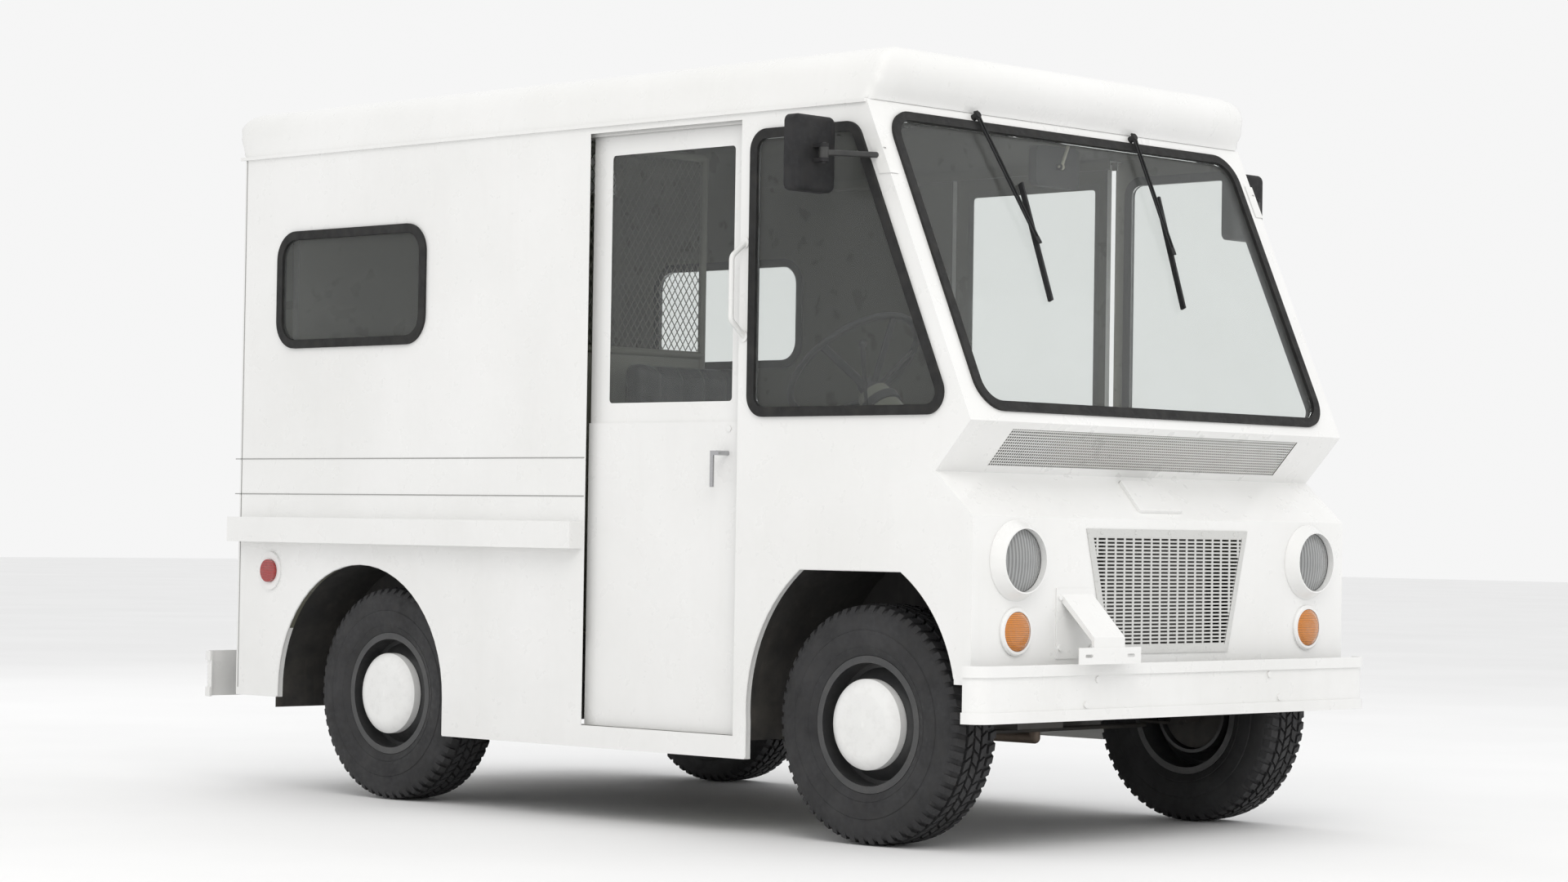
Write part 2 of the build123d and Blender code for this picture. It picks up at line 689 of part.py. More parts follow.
with BuildPart() as floor_pan:
    slab(-housing_wall_x, housing_wall_x, nose_y + skin, step_front_y, rail_top_z, rail_top_z + floor_sheet)
    slab(-well_half, well_half, step_front_y, step_rear_y, rail_top_z, rail_top_z + floor_sheet)
    slab(-pocket_x, pocket_x, step_rear_y, housing_front_y, floor_under_z, cargo_floor_z)
    slab(-inner_half, inner_half, housing_front_y, rear_y - skin - jamb_depth, floor_under_z, cargo_floor_z)
    for side in (-1, 1):
        slab(side * well_half, side * (well_half + 4.0), step_front_y, step_rear_y, step_floor_z - 4.0, rail_top_z + 4.0)
        slab(side * well_half, side * inner_half, step_front_y, step_rear_y, step_floor_z - 4.0, step_floor_z)
        slab(side * pocket_x, side * inner_half, step_rear_y, housing_front_y, step_floor_z - 4.0, step_floor_z)
        slab(side * well_half, side * pocket_x, step_rear_y, step_rear_y + 4.0, step_floor_z - 4.0, cargo_floor_z)
        slab(
            side * rear_housing_x,
            side * inner_half,
            housing_front_y,
            housing_rear_y,
            floor_under_z,
            cargo_floor_z,
            Mode.SUBTRACT,
        )
    slab(-well_half, well_half, step_rear_y, step_rear_y + 4.0, rail_top_z, cargo_floor_z)
    slab(
        -cab_hole_half,
        cab_hole_half,
        cab_hole_front_y,
        cab_hole_rear_y,
        rail_top_z,
        rail_top_z + floor_sheet,
        Mode.SUBTRACT,
    )
    slab(pedestal_x0, pedestal_x1, pedestal_y0, pedestal_y1, rail_top_z, seat_plate_z - 22.0)
    slab(driver_x - runner_reach, pedestal_x1, pedestal_y0, pedestal_y1, seat_plate_z - 28.0, seat_plate_z - 22.0)
    for x in (driver_x - runner_reach, driver_x + runner_reach - 20.0):
        slab(x, x + 20.0, seat_front_y + 40.0, seat_rear_y - 60.0, seat_plate_z - 22.0, seat_plate_z)
    for x in pedal_ears:
        slab(x - 3.0, x + 3.0, pedal_pivot[0] - 16.0, pedal_pivot[0] + 16.0, rail_top_z, pedal_pivot[1] + 16.0)
    with Locations((pedal_x, pedal_pivot[0], pedal_pivot[1])):
        Cylinder(pedal_pin_r + run_gap, 60.0, rotation=(0, 90, 0), mode=Mode.SUBTRACT)
save(floor_pan, "floor_pan")

# Wheel housings: bent shells over each wheel with an inner wall
shell_in = skin + seat_gap
shell_out = shell_in + 3.0
front_shell_in = front_arch(shell_in)
front_shell_out = front_arch(shell_out)
rear_shell_in = rear_well(shell_in)
rear_shell_out = rear_well(shell_out)
rear_wall_low = cargo_floor_z - 140.0

with BuildPart() as wheel_housings:
    with BuildSketch(Plane.YZ.offset(housing_wall_x)):
        add(front_shell_out)
        add(front_shell_in, mode=Mode.SUBTRACT)
        with Locations((arch_front_y, nose_bottom_z - 300.0)):
            Rectangle(300.0, 600.0, mode=Mode.SUBTRACT)
        with Locations((arch_rear_y, step_floor_z - 304.0)):
            Rectangle(400.0, 600.0, mode=Mode.SUBTRACT)
    extrude(amount=inner_half - housing_wall_x)
    with BuildSketch(Plane.YZ.offset(housing_wall_x)):
        add(front_shell_out)
        with Locations((front_axle_y, rail_top_z - 500.0)):
            Rectangle(4 * tyre_radius, 1000.0, mode=Mode.SUBTRACT)
    extrude(amount=3.0)
    with BuildSketch(Plane.YZ.offset(rear_housing_x)):
        add(rear_shell_out)
        add(rear_shell_in, mode=Mode.SUBTRACT)
        with Locations((rear_arch_y, step_floor_z - 504.0)):
            Rectangle(4 * rear_arch_radius, 1000.0, mode=Mode.SUBTRACT)
    extrude(amount=inner_half - rear_housing_x)
    with BuildSketch(Plane.YZ.offset(rear_housing_x)):
        add(rear_shell_out)
        with Locations((rear_arch_y, rear_wall_low - 500.0)):
            Rectangle(4 * rear_arch_radius, 1000.0, mode=Mode.SUBTRACT)
    extrude(amount=3.0)
    mirror(about=Plane.YZ)
save(wheel_housings, "wheel_housings")

# Engine with gearbox, and the radiator on the front cross member
engine_front_y = nose_y + 135.0
engine_length = 480.0
engine_half = 150.0
gearbox_length = 500.0
prop_z = tyre_radius
engine_rear_y = engine_front_y + engine_length
gearbox_rear_y = engine_rear_y + gearbox_length
radiator_half = 240.0
mount_half = rail_x + rail_width / 2 - 4.0

with BuildPart() as engine:
    slab(-engine_half, engine_half, engine_front_y, engine_rear_y, 400.0, 760.0)
    slab(-105.0, 105.0, front_axle_y + 42.0, engine_rear_y - 20.0, 300.0, 400.0)
    slab(-90.0, 90.0, engine_front_y + 20.0, engine_rear_y - 30.0, 760.0, 850.0)
    slab(-mount_half, mount_half, engine_front_y + 200.0, engine_front_y + 250.0, 400.0, 440.0)
    with BuildSketch(Plane.XZ.offset(-engine_rear_y)):
        with Locations((0, 430.0)):
            Circle(150.0)
    extrude(amount=-110.0)
    with BuildSketch(Plane.XZ.offset(-engine_rear_y - 110.0)):
        with Locations((0, 400.0)):
            RectangleRounded(190.0, 210.0, 30.0)
    extrude(amount=-(gearbox_length - 130.0))
    with BuildSketch(Plane.XZ.offset(-gearbox_rear_y + 40.0)):
        with Locations((0, prop_z)):
            Circle(38.0)
    extrude(amount=-40.0)
    slab(-radiator_half, radiator_half, nose_y + 45.0, nose_y + 95.0, rail_top_z, 900.0)
save(engine, "engine")

cover_top_z = 960.0
cover_low_z = 620.0
cover_step_y = cab_hole_rear_y - 140.0
cover_sheet = 3.0
with BuildPart() as engine_cover:
    slab(-cover_half, cover_half, nose_y + 110.0, cover_step_y, rail_top_z + floor_sheet, cover_top_z)
    fillet(engine_cover.edges().filter_by(Axis.Y).group_by(Axis.Z)[-1], 45.0)
    slab(-cover_half, cover_half, cover_step_y, cab_hole_rear_y + 20.0, rail_top_z + floor_sheet, cover_low_z)
    slab(
        -cover_half + cover_sheet,
        cover_half - cover_sheet,
        nose_y + 110.0 + cover_sheet,
        cover_step_y - cover_sheet,
        rail_top_z,
        cover_top_z - 48.0,
        Mode.SUBTRACT,
    )
    slab(
        -cover_half + cover_sheet,
        cover_half - cover_sheet,
        cover_step_y - 2 * cover_sheet,
        cab_hole_rear_y + 20.0 - cover_sheet,
        rail_top_z,
        cover_low_z - cover_sheet,
        Mode.SUBTRACT,
    )
save(engine_cover, "engine_cover")

# Dash: a folded sheet between the body sides, with an instrument box
dash_points = [
    (notch_y - 62.0, ledge_z - 10.0),
    (notch_y + 110.0, ledge_z - 28.0),
    (notch_y + 110.0, notch_z + 2.0),
]
dash_profile = outline(sheet_strip(dash_points, skin))
with BuildPart() as dash_panel:
    with BuildSketch(Plane.YZ.offset(-inner_half)):
        add(dash_profile)
    extrude(amount=2 * inner_half)
    slab(driver_x - 95.0, driver_x + 95.0, notch_y + 108.0, notch_y + 150.0, notch_z + 12.0, ledge_z - 34.0)
save(dash_panel, "dash_panel")

# Steering column, wheel and gear lever on one inclined axis
wheel_hub = (driver_x, front_axle_y + 361.0, 1294.0)
column_lean = 42.0
column_dir = (0, sin(radians(column_lean)), cos(radians(column_lean)))
column_plane = Plane(origin=wheel_hub, x_dir=(1, 0, 0), z_dir=column_dir)
column_r = 24.0
bell_r = 48.0
bell_base_r = 58.0
column_length = (wheel_hub[2] - rail_top_z - floor_sheet - 16.0) / column_dir[2]
steering_shaft_r = 9.0
bell_top = -22.0
foot_y = wheel_hub[1] - column_dir[1] * column_length

with BuildPart() as steering_column:
    with BuildSketch(column_plane.offset(bell_top)):
        Circle(bell_r)
    with BuildSketch(column_plane.offset(bell_top - 95.0)):
        Circle(bell_base_r)
    loft()
    with BuildSketch(column_plane.offset(bell_top - 95.0)):
        Circle(bell_base_r)
    with BuildSketch(column_plane.offset(bell_top - 190.0)):
        Circle(column_r)
    loft()
    with BuildSketch(column_plane.offset(-column_length)):
        Circle(column_r)
    extrude(amount=column_length + bell_top - 150.0)
    with BuildSketch(column_plane.offset(bell_top)):
        Circle(steering_shaft_r + run_gap)
    extrude(amount=-40.0, mode=Mode.SUBTRACT)
    slab(driver_x - 45.0, driver_x + 45.0, foot_y - 32.0, foot_y + 40.0, rail_top_z + floor_sheet, 522.0)
save(steering_column, "steering_column")

rim_r = 212.0
rim_tube = 9.5
rim_dish = 95.0
hub_r = 31.0
spoke_width = 24.0
spoke_thick = 8.0
spoke_angles = (200.0, 340.0, 270.0)
with BuildPart() as steering_wheel:
    with BuildSketch(column_plane.offset(bell_top + seat_gap)):
        Circle(hub_r)
    extrude(amount=42.0)
    with BuildSketch(column_plane.offset(bell_top + seat_gap)):
        Circle(steering_shaft_r)
    extrude(amount=-36.0)
    rim_plane = Plane(origin=wheel_hub, x_dir=(1, 0, 0), z_dir=column_dir).offset(rim_dish)
    with BuildSketch(Plane(origin=rim_plane.origin, x_dir=(1, 0, 0), z_dir=rim_plane.y_dir)):
        with Locations((rim_r, 0)):
            Circle(rim_tube)
    revolve(axis=Axis(rim_plane.origin, rim_plane.z_dir))
    for angle in spoke_angles:
        reach = Vector(cos(radians(angle)), sin(radians(angle)), 0)
        inner = rim_plane.offset(-rim_dish).from_local_coords(reach * (hub_r - 6.0))
        outer = rim_plane.from_local_coords(reach * (rim_r - 1.0))
        run = outer - inner
        across = rim_plane.z_dir.cross(run).normalized()
        with BuildSketch(Plane(origin=inner, x_dir=across, z_dir=run)):
            RectangleRounded(spoke_width, spoke_thick, 3.5)
        extrude(amount=run.length)
save(steering_wheel, "steering_wheel")

lever_root = Vector(*wheel_hub) - Vector(*column_dir) * 66.0 + Vector(-61.0, 0, 0)
lever_run = Vector(-112.0, -84.0, 180.0)
lever_length = lever_run.length
lever_plane = Plane(origin=lever_root, z_dir=lever_run)
with BuildPart() as gear_lever:
    with BuildSketch(lever_plane):
        Circle(5.0)
    with BuildSketch(lever_plane.offset(lever_length - 20.0)):
        Circle(7.5)
    loft()
    with Locations(tuple(lever_root + lever_run.normalized() * (lever_length - 14.0))):
        Sphere(12.0)
    with BuildSketch(column_plane.offset(bell_top - 60.0)):
        Circle(bell_r + 14.0)
        Circle(bell_r + 6.7, mode=Mode.SUBTRACT)
    extrude(amount=26.0)
save(gear_lever, "gear_lever")

# Partition behind the driver: a welded frame around a sheet of mesh
partition_y = step_rear_y + 110.0
partition_tube = 25.0
partition_edge_x = -235.0
partition_top_z = 2050.0
partition_outer_x = -pocket_x
with BuildPart() as partition:
    slab(partition_outer_x, partition_edge_x, partition_y, partition_y + partition_tube, cargo_floor_z, partition_top_z)
    slab(
        partition_outer_x + partition_tube,
        partition_edge_x - partition_tube,
        partition_y,
        partition_y + partition_tube,
        cargo_floor_z + partition_tube,
        partition_top_z - partition_tube,
        Mode.SUBTRACT,
    )
    slab(
        partition_outer_x + partition_tube,
        partition_edge_x - partition_tube,
        partition_y + 11.0,
        partition_y + 14.0,
        cargo_floor_z + partition_tube,
        partition_top_z - partition_tube,
    )
    slab(partition_outer_x + partition_tube, partition_edge_x - partition_tube, partition_y, partition_y + 25.0, 1370.0, 1400.0)
save(partition, "partition")

# Driver seat: cushion and back on a folded plate that slides along its runners
seat_half = 250.0
seat_top_z = 1400.0
seat_cushion_high = 120.0
seat_back_thick = 90.0
seat_plate_top = seat_plate_z + seat_gap + 8.0
with BuildPart() as cushion_block:
    slab(
        driver_x - seat_half,
        driver_x + seat_half,
        seat_front_y,
        seat_rear_y - 8.0 - seat_back_thick - 2 * seat_gap,
        seat_plate_top + seat_gap,
        seat_plate_top + seat_cushion_high,
    )
    fillet(cushion_block.edges().filter_by(Axis.Z), 40.0)
    fillet(cushion_block.faces().sort_by(Axis.Z)[-1].edges(), 25.0)
with BuildPart() as back_block:
    slab(
        driver_x - seat_half,
        driver_x + seat_half,
        seat_rear_y - 8.0 - seat_back_thick - seat_gap,
        seat_rear_y - 8.0 - seat_gap,
        seat_plate_top + seat_gap,
        seat_top_z,
    )
    fillet(back_block.edges().filter_by(Axis.Y).group_by(Axis.Z)[-1], 55.0)
    fillet(back_block.faces().sort_by(Axis.Y)[0].edges(), 22.0)
with BuildPart() as driver_seat:
    slab(driver_x - 200.0, driver_x + 200.0, seat_front_y + 20.0, seat_rear_y, seat_plate_z + seat_gap, seat_plate_top)
    slab(
        driver_x - 200.0,
        driver_x + 200.0,
        seat_rear_y - 8.0,
        seat_rear_y,
        seat_plate_z + seat_gap,
        seat_top_z - 60.0,
    )
    add(cushion_block.part)
    add(back_block.part)
save(driver_seat, "driver_seat")

# Axles: front beam and rear housing on leaf springs under the rails
kingpin_r = 14.0
spindle_r = 20.0
beam_high = 50.0
eye_half = 28.0
yoke_thick = 20.0
beam_mid_z = axle_top_z - beam_high / 2
leaf_thick = 8.0
leaf_halves = (spring_half, 320.0, 190.0)
hanger_depth = 44.0
leaf_top_z = axle_top_z + leaf_thick * len(leaf_halves)
wheel_inner_x = wheel_x - 60.0


def leaf_springs(axle_y):
    """Both spring packs with their hangers and clamp plates, seated on an axle at axle_y."""
    for side in (-1, 1):
        x0 = side * (spring_x - spring_width / 2)
        x1 = side * (spring_x + spring_width / 2)
        for i, reach in enumerate(reversed(leaf_halves)):
            z = axle_top_z + i * leaf_thick
            slab(x0, x1, axle_y - reach, axle_y + reach, z, z + leaf_thick)
        for end in (-1, 1):
            y0 = axle_y + end * spring_half
            y1 = axle_y + end * (spring_half - 55.0)
            slab(side * (rail_x + rail_width / 2), x1, y0, y1, leaf_top_z, leaf_top_z + hanger_depth)
        slab(x0 - side * 8.0, x1 + side * 8.0, axle_y - 40.0, axle_y + 40.0, leaf_top_z, leaf_top_z + 10.0)
        slab(x0, x1, axle_y - 20.0, axle_y + 20.0, tyre_radius, axle_top_z)


with BuildPart() as front_axle:
    leaf_springs(front_axle_y)
    slab(-kingpin_x, kingpin_x, front_axle_y - 25.0, front_axle_y + 25.0, axle_top_z - beam_high, axle_top_z)
    for side in (-1, 1):
        with Locations((side * kingpin_x, front_axle_y, beam_mid_z)):
            Cylinder(eye_half, beam_high)
            Cylinder(kingpin_r + run_gap, beam_high, mode=Mode.SUBTRACT)
save(front_axle, "front_axle")

tube_r = axle_top_z - tyre_radius
diff_r = 105.0
stub_end_x = wheel_x + 50.0
pinion_reach = 180.0
with BuildPart() as rear_axle:
    leaf_springs(rear_axle_y)
    with Locations((0, rear_axle_y, tyre_radius)):
        Cylinder(tube_r, 2 * (wheel_inner_x - 8.0), rotation=(0, 90, 0))
        Cylinder(spindle_r, 2 * stub_end_x, rotation=(0, 90, 0))
        Cylinder(diff_r, 150.0, rotation=(0, 90, 0))
    with Locations((0, rear_axle_y - pinion_reach / 2, tyre_radius)):
        Cylinder(45.0, pinion_reach, rotation=(90, 0, 0))
save(rear_axle, "rear_axle")

prop_r = 32.0
prop_front_y = gearbox_rear_y + seat_gap
prop_rear_y = rear_axle_y - pinion_reach - seat_gap
with BuildPart() as propeller_shaft:
    with Locations((0, (prop_front_y + prop_rear_y) / 2, prop_z)):
        Cylinder(prop_r, prop_rear_y - prop_front_y, rotation=(90, 0, 0))
    for y in (prop_front_y + 6.0, prop_rear_y - 6.0):
        with Locations((0, y, prop_z)):
            Cylinder(44.0, 12.0, rotation=(90, 0, 0))
save(propeller_shaft, "propeller_shaft")

arm_y = front_axle_y + 140.0
arm_thick = 8.0
yoke_low_z = axle_top_z - beam_high - seat_gap - yoke_thick
yoke_high_z = axle_top_z + seat_gap + yoke_thick
yoke_outer_x = kingpin_x + eye_half + 22.0
backing_r = 112.0


def steering_knuckle(side):
    """Yoke, kingpin, spindle, backing plate and steering arm of one front wheel."""
    with BuildPart() as knuckle:
        k = side * kingpin_x
        for z0, z1 in ((yoke_low_z, yoke_low_z + yoke_thick), (yoke_high_z - yoke_thick, yoke_high_z)):
            slab(k - side * eye_half, side * yoke_outer_x, front_axle_y - eye_half, front_axle_y + eye_half, z0, z1)
        slab(
            k + side * (eye_half + seat_gap + 1.0),
            side * yoke_outer_x,
            front_axle_y - eye_half,
            front_axle_y + eye_half,
            yoke_low_z,
            yoke_high_z,
        )
        with Locations((k, front_axle_y, (yoke_low_z + yoke_high_z) / 2)):
            Cylinder(kingpin_r, yoke_high_z - yoke_low_z)
        spindle_length = stub_end_x - yoke_outer_x
        with Locations((side * (yoke_outer_x + spindle_length / 2), front_axle_y, tyre_radius)):
            Cylinder(spindle_r, spindle_length, rotation=(0, 90, 0))
        with Locations((side * (yoke_outer_x + 1.5), front_axle_y, tyre_radius)):
            Cylinder(backing_r, 3.0, rotation=(0, 90, 0))
        slab(k - side * eye_half, k, front_axle_y, arm_y + 12.0, yoke_low_z - arm_thick, yoke_low_z)
    return knuckle


for side, name in ((-1, "right"), (1, "left")):
    save(steering_knuckle(side), f"knuckle_{name}")

tie_r = 7.0
tie_z = yoke_low_z - arm_thick - seat_gap - tie_r
with BuildPart() as tie_rod:
    with Locations((0, arm_y, tie_z)):
        Cylinder(tie_r, 2 * (kingpin_x - 12.0), rotation=(0, 90, 0))
save(tie_rod, "tie_rod")

# Wheels: pressed disc, drop-centre rim, drum and hub turned as one piece, with its hub cap and tyre
bead_r = 178.0
flange_r = 192.0
rim_half = 78.0
rim_sheet = 6.0
flange_thick = 4.0
drum_r = 128.0
disc_plateau_x = 52.0
disc_plateau_r = 118.0
hub_out_r = 46.0
cap_r = 127.0
cap_face_x = 108.0
cap_seat_x = 60.0
cap_back_x = disc_plateau_x + seat_gap
sidewall_r = 228.0


def wheel_plane(side, axle_y):
    """Sketch plane whose x runs outward along the axle and y up its radius."""
    return Plane(origin=(side * wheel_x, axle_y, tyre_radius), x_dir=(side, 0, 0), z_dir=(0, -side, 0))


def spin_axis(axle_y):
    return Axis((0, axle_y, tyre_radius), (1, 0, 0))


def road_wheel(side, axle_y):
    with BuildPart() as wheel:
        with BuildSketch(wheel_plane(side, axle_y)):
            with BuildLine():
                Polyline(
                    (-rim_half - flange_thick, bead_r - rim_sheet),
                    (-rim_half - flange_thick, flange_r),
                    (-rim_half, flange_r),
                    (-rim_half, bead_r),
                    (rim_half, bead_r),
                    (rim_half, flange_r),
                    (rim_half + flange_thick, flange_r),
                    (rim_half + flange_thick, bead_r - rim_sheet),
                    close=True,
                )
            make_face()
            with BuildLine():
                Polyline(
                    (-22.0, spindle_r + run_gap),
                    (disc_plateau_x - 10.0, spindle_r + run_gap),
                    (disc_plateau_x, spindle_r + 8.0),
                    (disc_plateau_x, disc_plateau_r),
                    (18.0, bead_r - rim_sheet - 14.0),
                    (18.0, bead_r - rim_sheet),
                    (12.0, bead_r - rim_sheet),
                    (12.0, bead_r - rim_sheet - 17.0),
                    (disc_plateau_x - 7.0, disc_plateau_r - 6.0),
                    (disc_plateau_x - 7.0, hub_out_r),
                    (8.0, hub_out_r),
                    (8.0, drum_r),
                    (-50.0, drum_r),
                    (-50.0, drum_r - 10.0),
                    (0.0, drum_r - 10.0),
                    (0.0, hub_out_r),
                    (-22.0, hub_out_r),
                    close=True,
                )
            make_face()
            with BuildLine():
                Line((cap_back_x, 0), (cap_back_x, disc_plateau_r - 2.0))
                Line((cap_back_x, disc_plateau_r - 2.0), (cap_seat_x, cap_r))
                Line((cap_seat_x, cap_r), (cap_face_x - 22.0, cap_r))
                ThreePointArc((cap_face_x - 22.0, cap_r), (cap_face_x - 8.0, cap_r - 18.0), (cap_face_x - 2.0, cap_r - 40.0))
                Line((cap_face_x - 2.0, cap_r - 40.0), (cap_face_x, 0))
                Line((cap_face_x, 0), (cap_back_x, 0))
            make_face()
        revolve(axis=spin_axis(axle_y))
    return wheel


def road_tyre(side, axle_y):
    half_wide = tyre_width / 2
    with BuildPart() as tyre:
        with BuildSketch(wheel_plane(side, axle_y)):
            with BuildLine():
                Line((-rim_half, bead_r), (rim_half, bead_r))
                Line((rim_half, bead_r), (rim_half, flange_r))
                Line((rim_half, flange_r), (rim_half + flange_thick, flange_r + 1.0))
                ThreePointArc(
                    (rim_half + flange_thick, flange_r + 1.0),
                    (half_wide, sidewall_r + 16.0),
                    (half_wide - 10.0, tyre_radius - 18.0),
                )
                Line((half_wide - 10.0, tyre_radius - 18.0), (half_wide - 22.0, tyre_radius - 4.0))
                ThreePointArc(
                    (half_wide - 22.0, tyre_radius - 4.0), (0, tyre_radius), (22.0 - half_wide, tyre_radius - 4.0)
                )
                Line((22.0 - half_wide, tyre_radius - 4.0), (10.0 - half_wide, tyre_radius - 18.0))
                ThreePointArc(
                    (10.0 - half_wide, tyre_radius - 18.0),
                    (-half_wide, sidewall_r + 16.0),
                    (-rim_half - flange_thick, flange_r + 1.0),
                )
                Line((-rim_half - flange_thick, flange_r + 1.0), (-rim_half, flange_r))
                Line((-rim_half, flange_r), (-rim_half, bead_r))
            make_face()
        revolve(axis=spin_axis(axle_y))
    return tyre


for axle_name, axle_y in (("front", front_axle_y), ("rear", rear_axle_y)):
    for side, name in ((-1, "right"), (1, "left")):
        save(road_wheel(side, axle_y), f"wheel_{axle_name}_{name}")
        save(road_tyre(side, axle_y), f"tyre_{axle_name}_{name}")

# Sliding doors: folded pans with a window, their panes and turning handles
door_y0 = door_front_y - door_overlap_front
door_y1 = door_rear_y + door_overlap_rear
door_high_z = door_top_z + door_top_overlap
crease_z = 1186.0
crease_step = 6.5
upper_face_x = door_outer_x - crease_step
door_window_y0 = door_y0 + 65.0
door_window_y1 = door_y1 - 78.0
door_window_low_z = 1245.0
door_window_high_z = 1985.0
door_window_corner = 12.0
door_window_mid = ((door_window_y0 + door_window_y1) / 2, (door_window_low_z + door_window_high_z) / 2)
lock_y = door_y0 + 67.0
lock_z = 1165.0
handle_y = door_y0 + 72.0
handle_z = 1094.0
handle_pin_r = 7.0
handle_proud = 45.0
grip_reach = 25.0
grip_drop = 105.0
grip_r = 6.5


def sliding_door(side):
    """Door pan whose upper part is set back at the crease."""
    with BuildPart() as door:
        slab(side * door_inner_x, side * door_outer_x, door_y0, door_y1, door_bottom_z, crease_z)
        slab(side * door_inner_x, side * upper_face_x, door_y0, door_y1, crease_z, door_high_z)
        slab(
            side * door_inner_x,
            side * (door_outer_x - skin),
            door_y0 + skin,
            door_y1 - skin,
            door_bottom_z + skin,
            crease_z - skin,
            Mode.SUBTRACT,
        )
        slab(
            side * door_inner_x,
            side * (upper_face_x - skin),
            door_y0 + skin,
            door_y1 - skin,
            crease_z - 2 * skin,
            door_high_z - skin,
            Mode.SUBTRACT,
        )
        with BuildSketch(Plane.YZ.offset(side * upper_face_x)):
            with Locations(door_window_mid):
                RectangleRounded(
                    door_window_y1 - door_window_y0,
                    door_window_high_z - door_window_low_z,
                    door_window_corner,
                )
        extrude(amount=2 * skin, both=True, mode=Mode.SUBTRACT)
        with Locations((side * (door_outer_x + 0.5), lock_y, lock_z)):
            Cylinder(9.0, 5.0, rotation=(0, 90, 0))
        with Locations((side * (door_outer_x - 1.0), handle_y, handle_z)):
            Cylinder(handle_pin_r + run_gap, 4 * skin, rotation=(0, 90, 0), mode=Mode.SUBTRACT)
    return door


def door_pane(side):
    with BuildPart() as pane:
        x = side * (upper_face_x - skin - seat_gap)
        slab(
            x,
            x - side * glass_thick,
            door_window_y0 - 20.0,
            door_window_y1 + 20.0,
            door_window_low_z - 20.0,
            door_window_high_z + 20.0,
        )
    return pane


def door_grip(side):
    """L handle: spindle, short arm rearward and a round grip hanging from it."""
    grip_x = side * (door_outer_x + handle_proud - grip_r)
    with BuildPart() as grip:
        with Locations((side * (door_outer_x + handle_proud / 2 - 5.0), handle_y, handle_z)):
            Cylinder(handle_pin_r, handle_proud + 10.0, rotation=(0, 90, 0))
        slab(grip_x - grip_r, grip_x + grip_r, handle_y, handle_y + grip_reach, handle_z - grip_r, handle_z + grip_r)
        with Locations((grip_x, handle_y + grip_reach, handle_z - grip_drop / 2 + grip_r)):
            Cylinder(grip_r, grip_drop)
    return grip


for side, name in ((-1, "right"), (1, "left")):
    save(sliding_door(side), f"door_{name}")
    save(door_pane(side), f"door_glass_{name}")
    save(door_grip(side), f"door_handle_{name}")

# Bumpers: a beaded channel on two irons at each end of the frame
bumper_half = 911.0
bumper_corner = 60.0
bumper_sheet = 3.0
bead_high = 31.0
bead_proud = 6.0
front_bumper_y = nose_y - 73.0
front_bumper_z = (362.0, 518.0)
rear_bumper_y = rear_y + 140.0
rear_bumper_z = (295.0, 445.0)
bumper_return = 64.0
iron_half = 25.0
iron_outer_x = rail_x + rail_width / 2 - 4.0 - seat_gap
bumper_bolts = ((400.0, 34.0), (451.0, -34.0))


def bumper_channel(face_y, way, z0, z1):
    """Beaded channel whose face looks along way, with both ends turned back."""
    deep = 300.0
    for inset, depth, low, high in (
        (bead_proud, bumper_sheet, z0, z1),
        (0.0, bead_proud + bumper_sheet, z0, z0 + bead_high),
        (0.0, bead_proud + bumper_sheet, z1 - bead_high, z1),
    ):
        inner = inset + depth
        with BuildSketch(Plane.XY.offset(low)) as ring:
            with Locations((0, face_y - way * deep / 2)):
                RectangleRounded(2 * (bumper_half - inset), deep - 2 * inset, bumper_corner - inset)
                RectangleRounded(2 * (bumper_half - inner), deep - 2 * inner, bumper_corner - inner, mode=Mode.SUBTRACT)
            with Locations((0, face_y - way * (bumper_return + deep / 2))):
                Rectangle(2 * bumper_half + 20.0, deep, mode=Mode.SUBTRACT)
        extrude(ring.sketch, amount=high - low)


with BuildPart() as front_bumper:
    bumper_channel(front_bumper_y, -1, front_bumper_z[0], front_bumper_z[1])
    bumper_mid_z = sum(front_bumper_z) / 2
    for side in (-1, 1):
        slab(
            side * (rail_x - iron_half),
            side * iron_outer_x,
            front_bumper_y + bead_proud + 1.0,
            rail_front_y + 18.0,
            bumper_mid_z - 40.0,
            bumper_mid_z + 20.0,
        )
        for bolt_x, bolt_up in bumper_bolts:
            with Locations((side * bolt_x, front_bumper_y + bead_proud - 2.0, bumper_mid_z + bolt_up)):
                Cylinder(9.0, 6.0, rotation=(90, 0, 0))
save(front_bumper, "front_bumper")

with BuildPart() as rear_bumper:
    bumper_channel(rear_bumper_y, 1, rear_bumper_z[0], rear_bumper_z[1])
    for side in (-1, 1):
        slab(
            side * (rail_x - iron_half),
            side * iron_outer_x,
            rail_rear_y - 20.0,
            rear_bumper_y - bead_proud - 1.0,
            rail_bottom_z + 5.0,
            rear_bumper_z[1] - 5.0,
        )
save(rear_bumper, "rear_bumper")

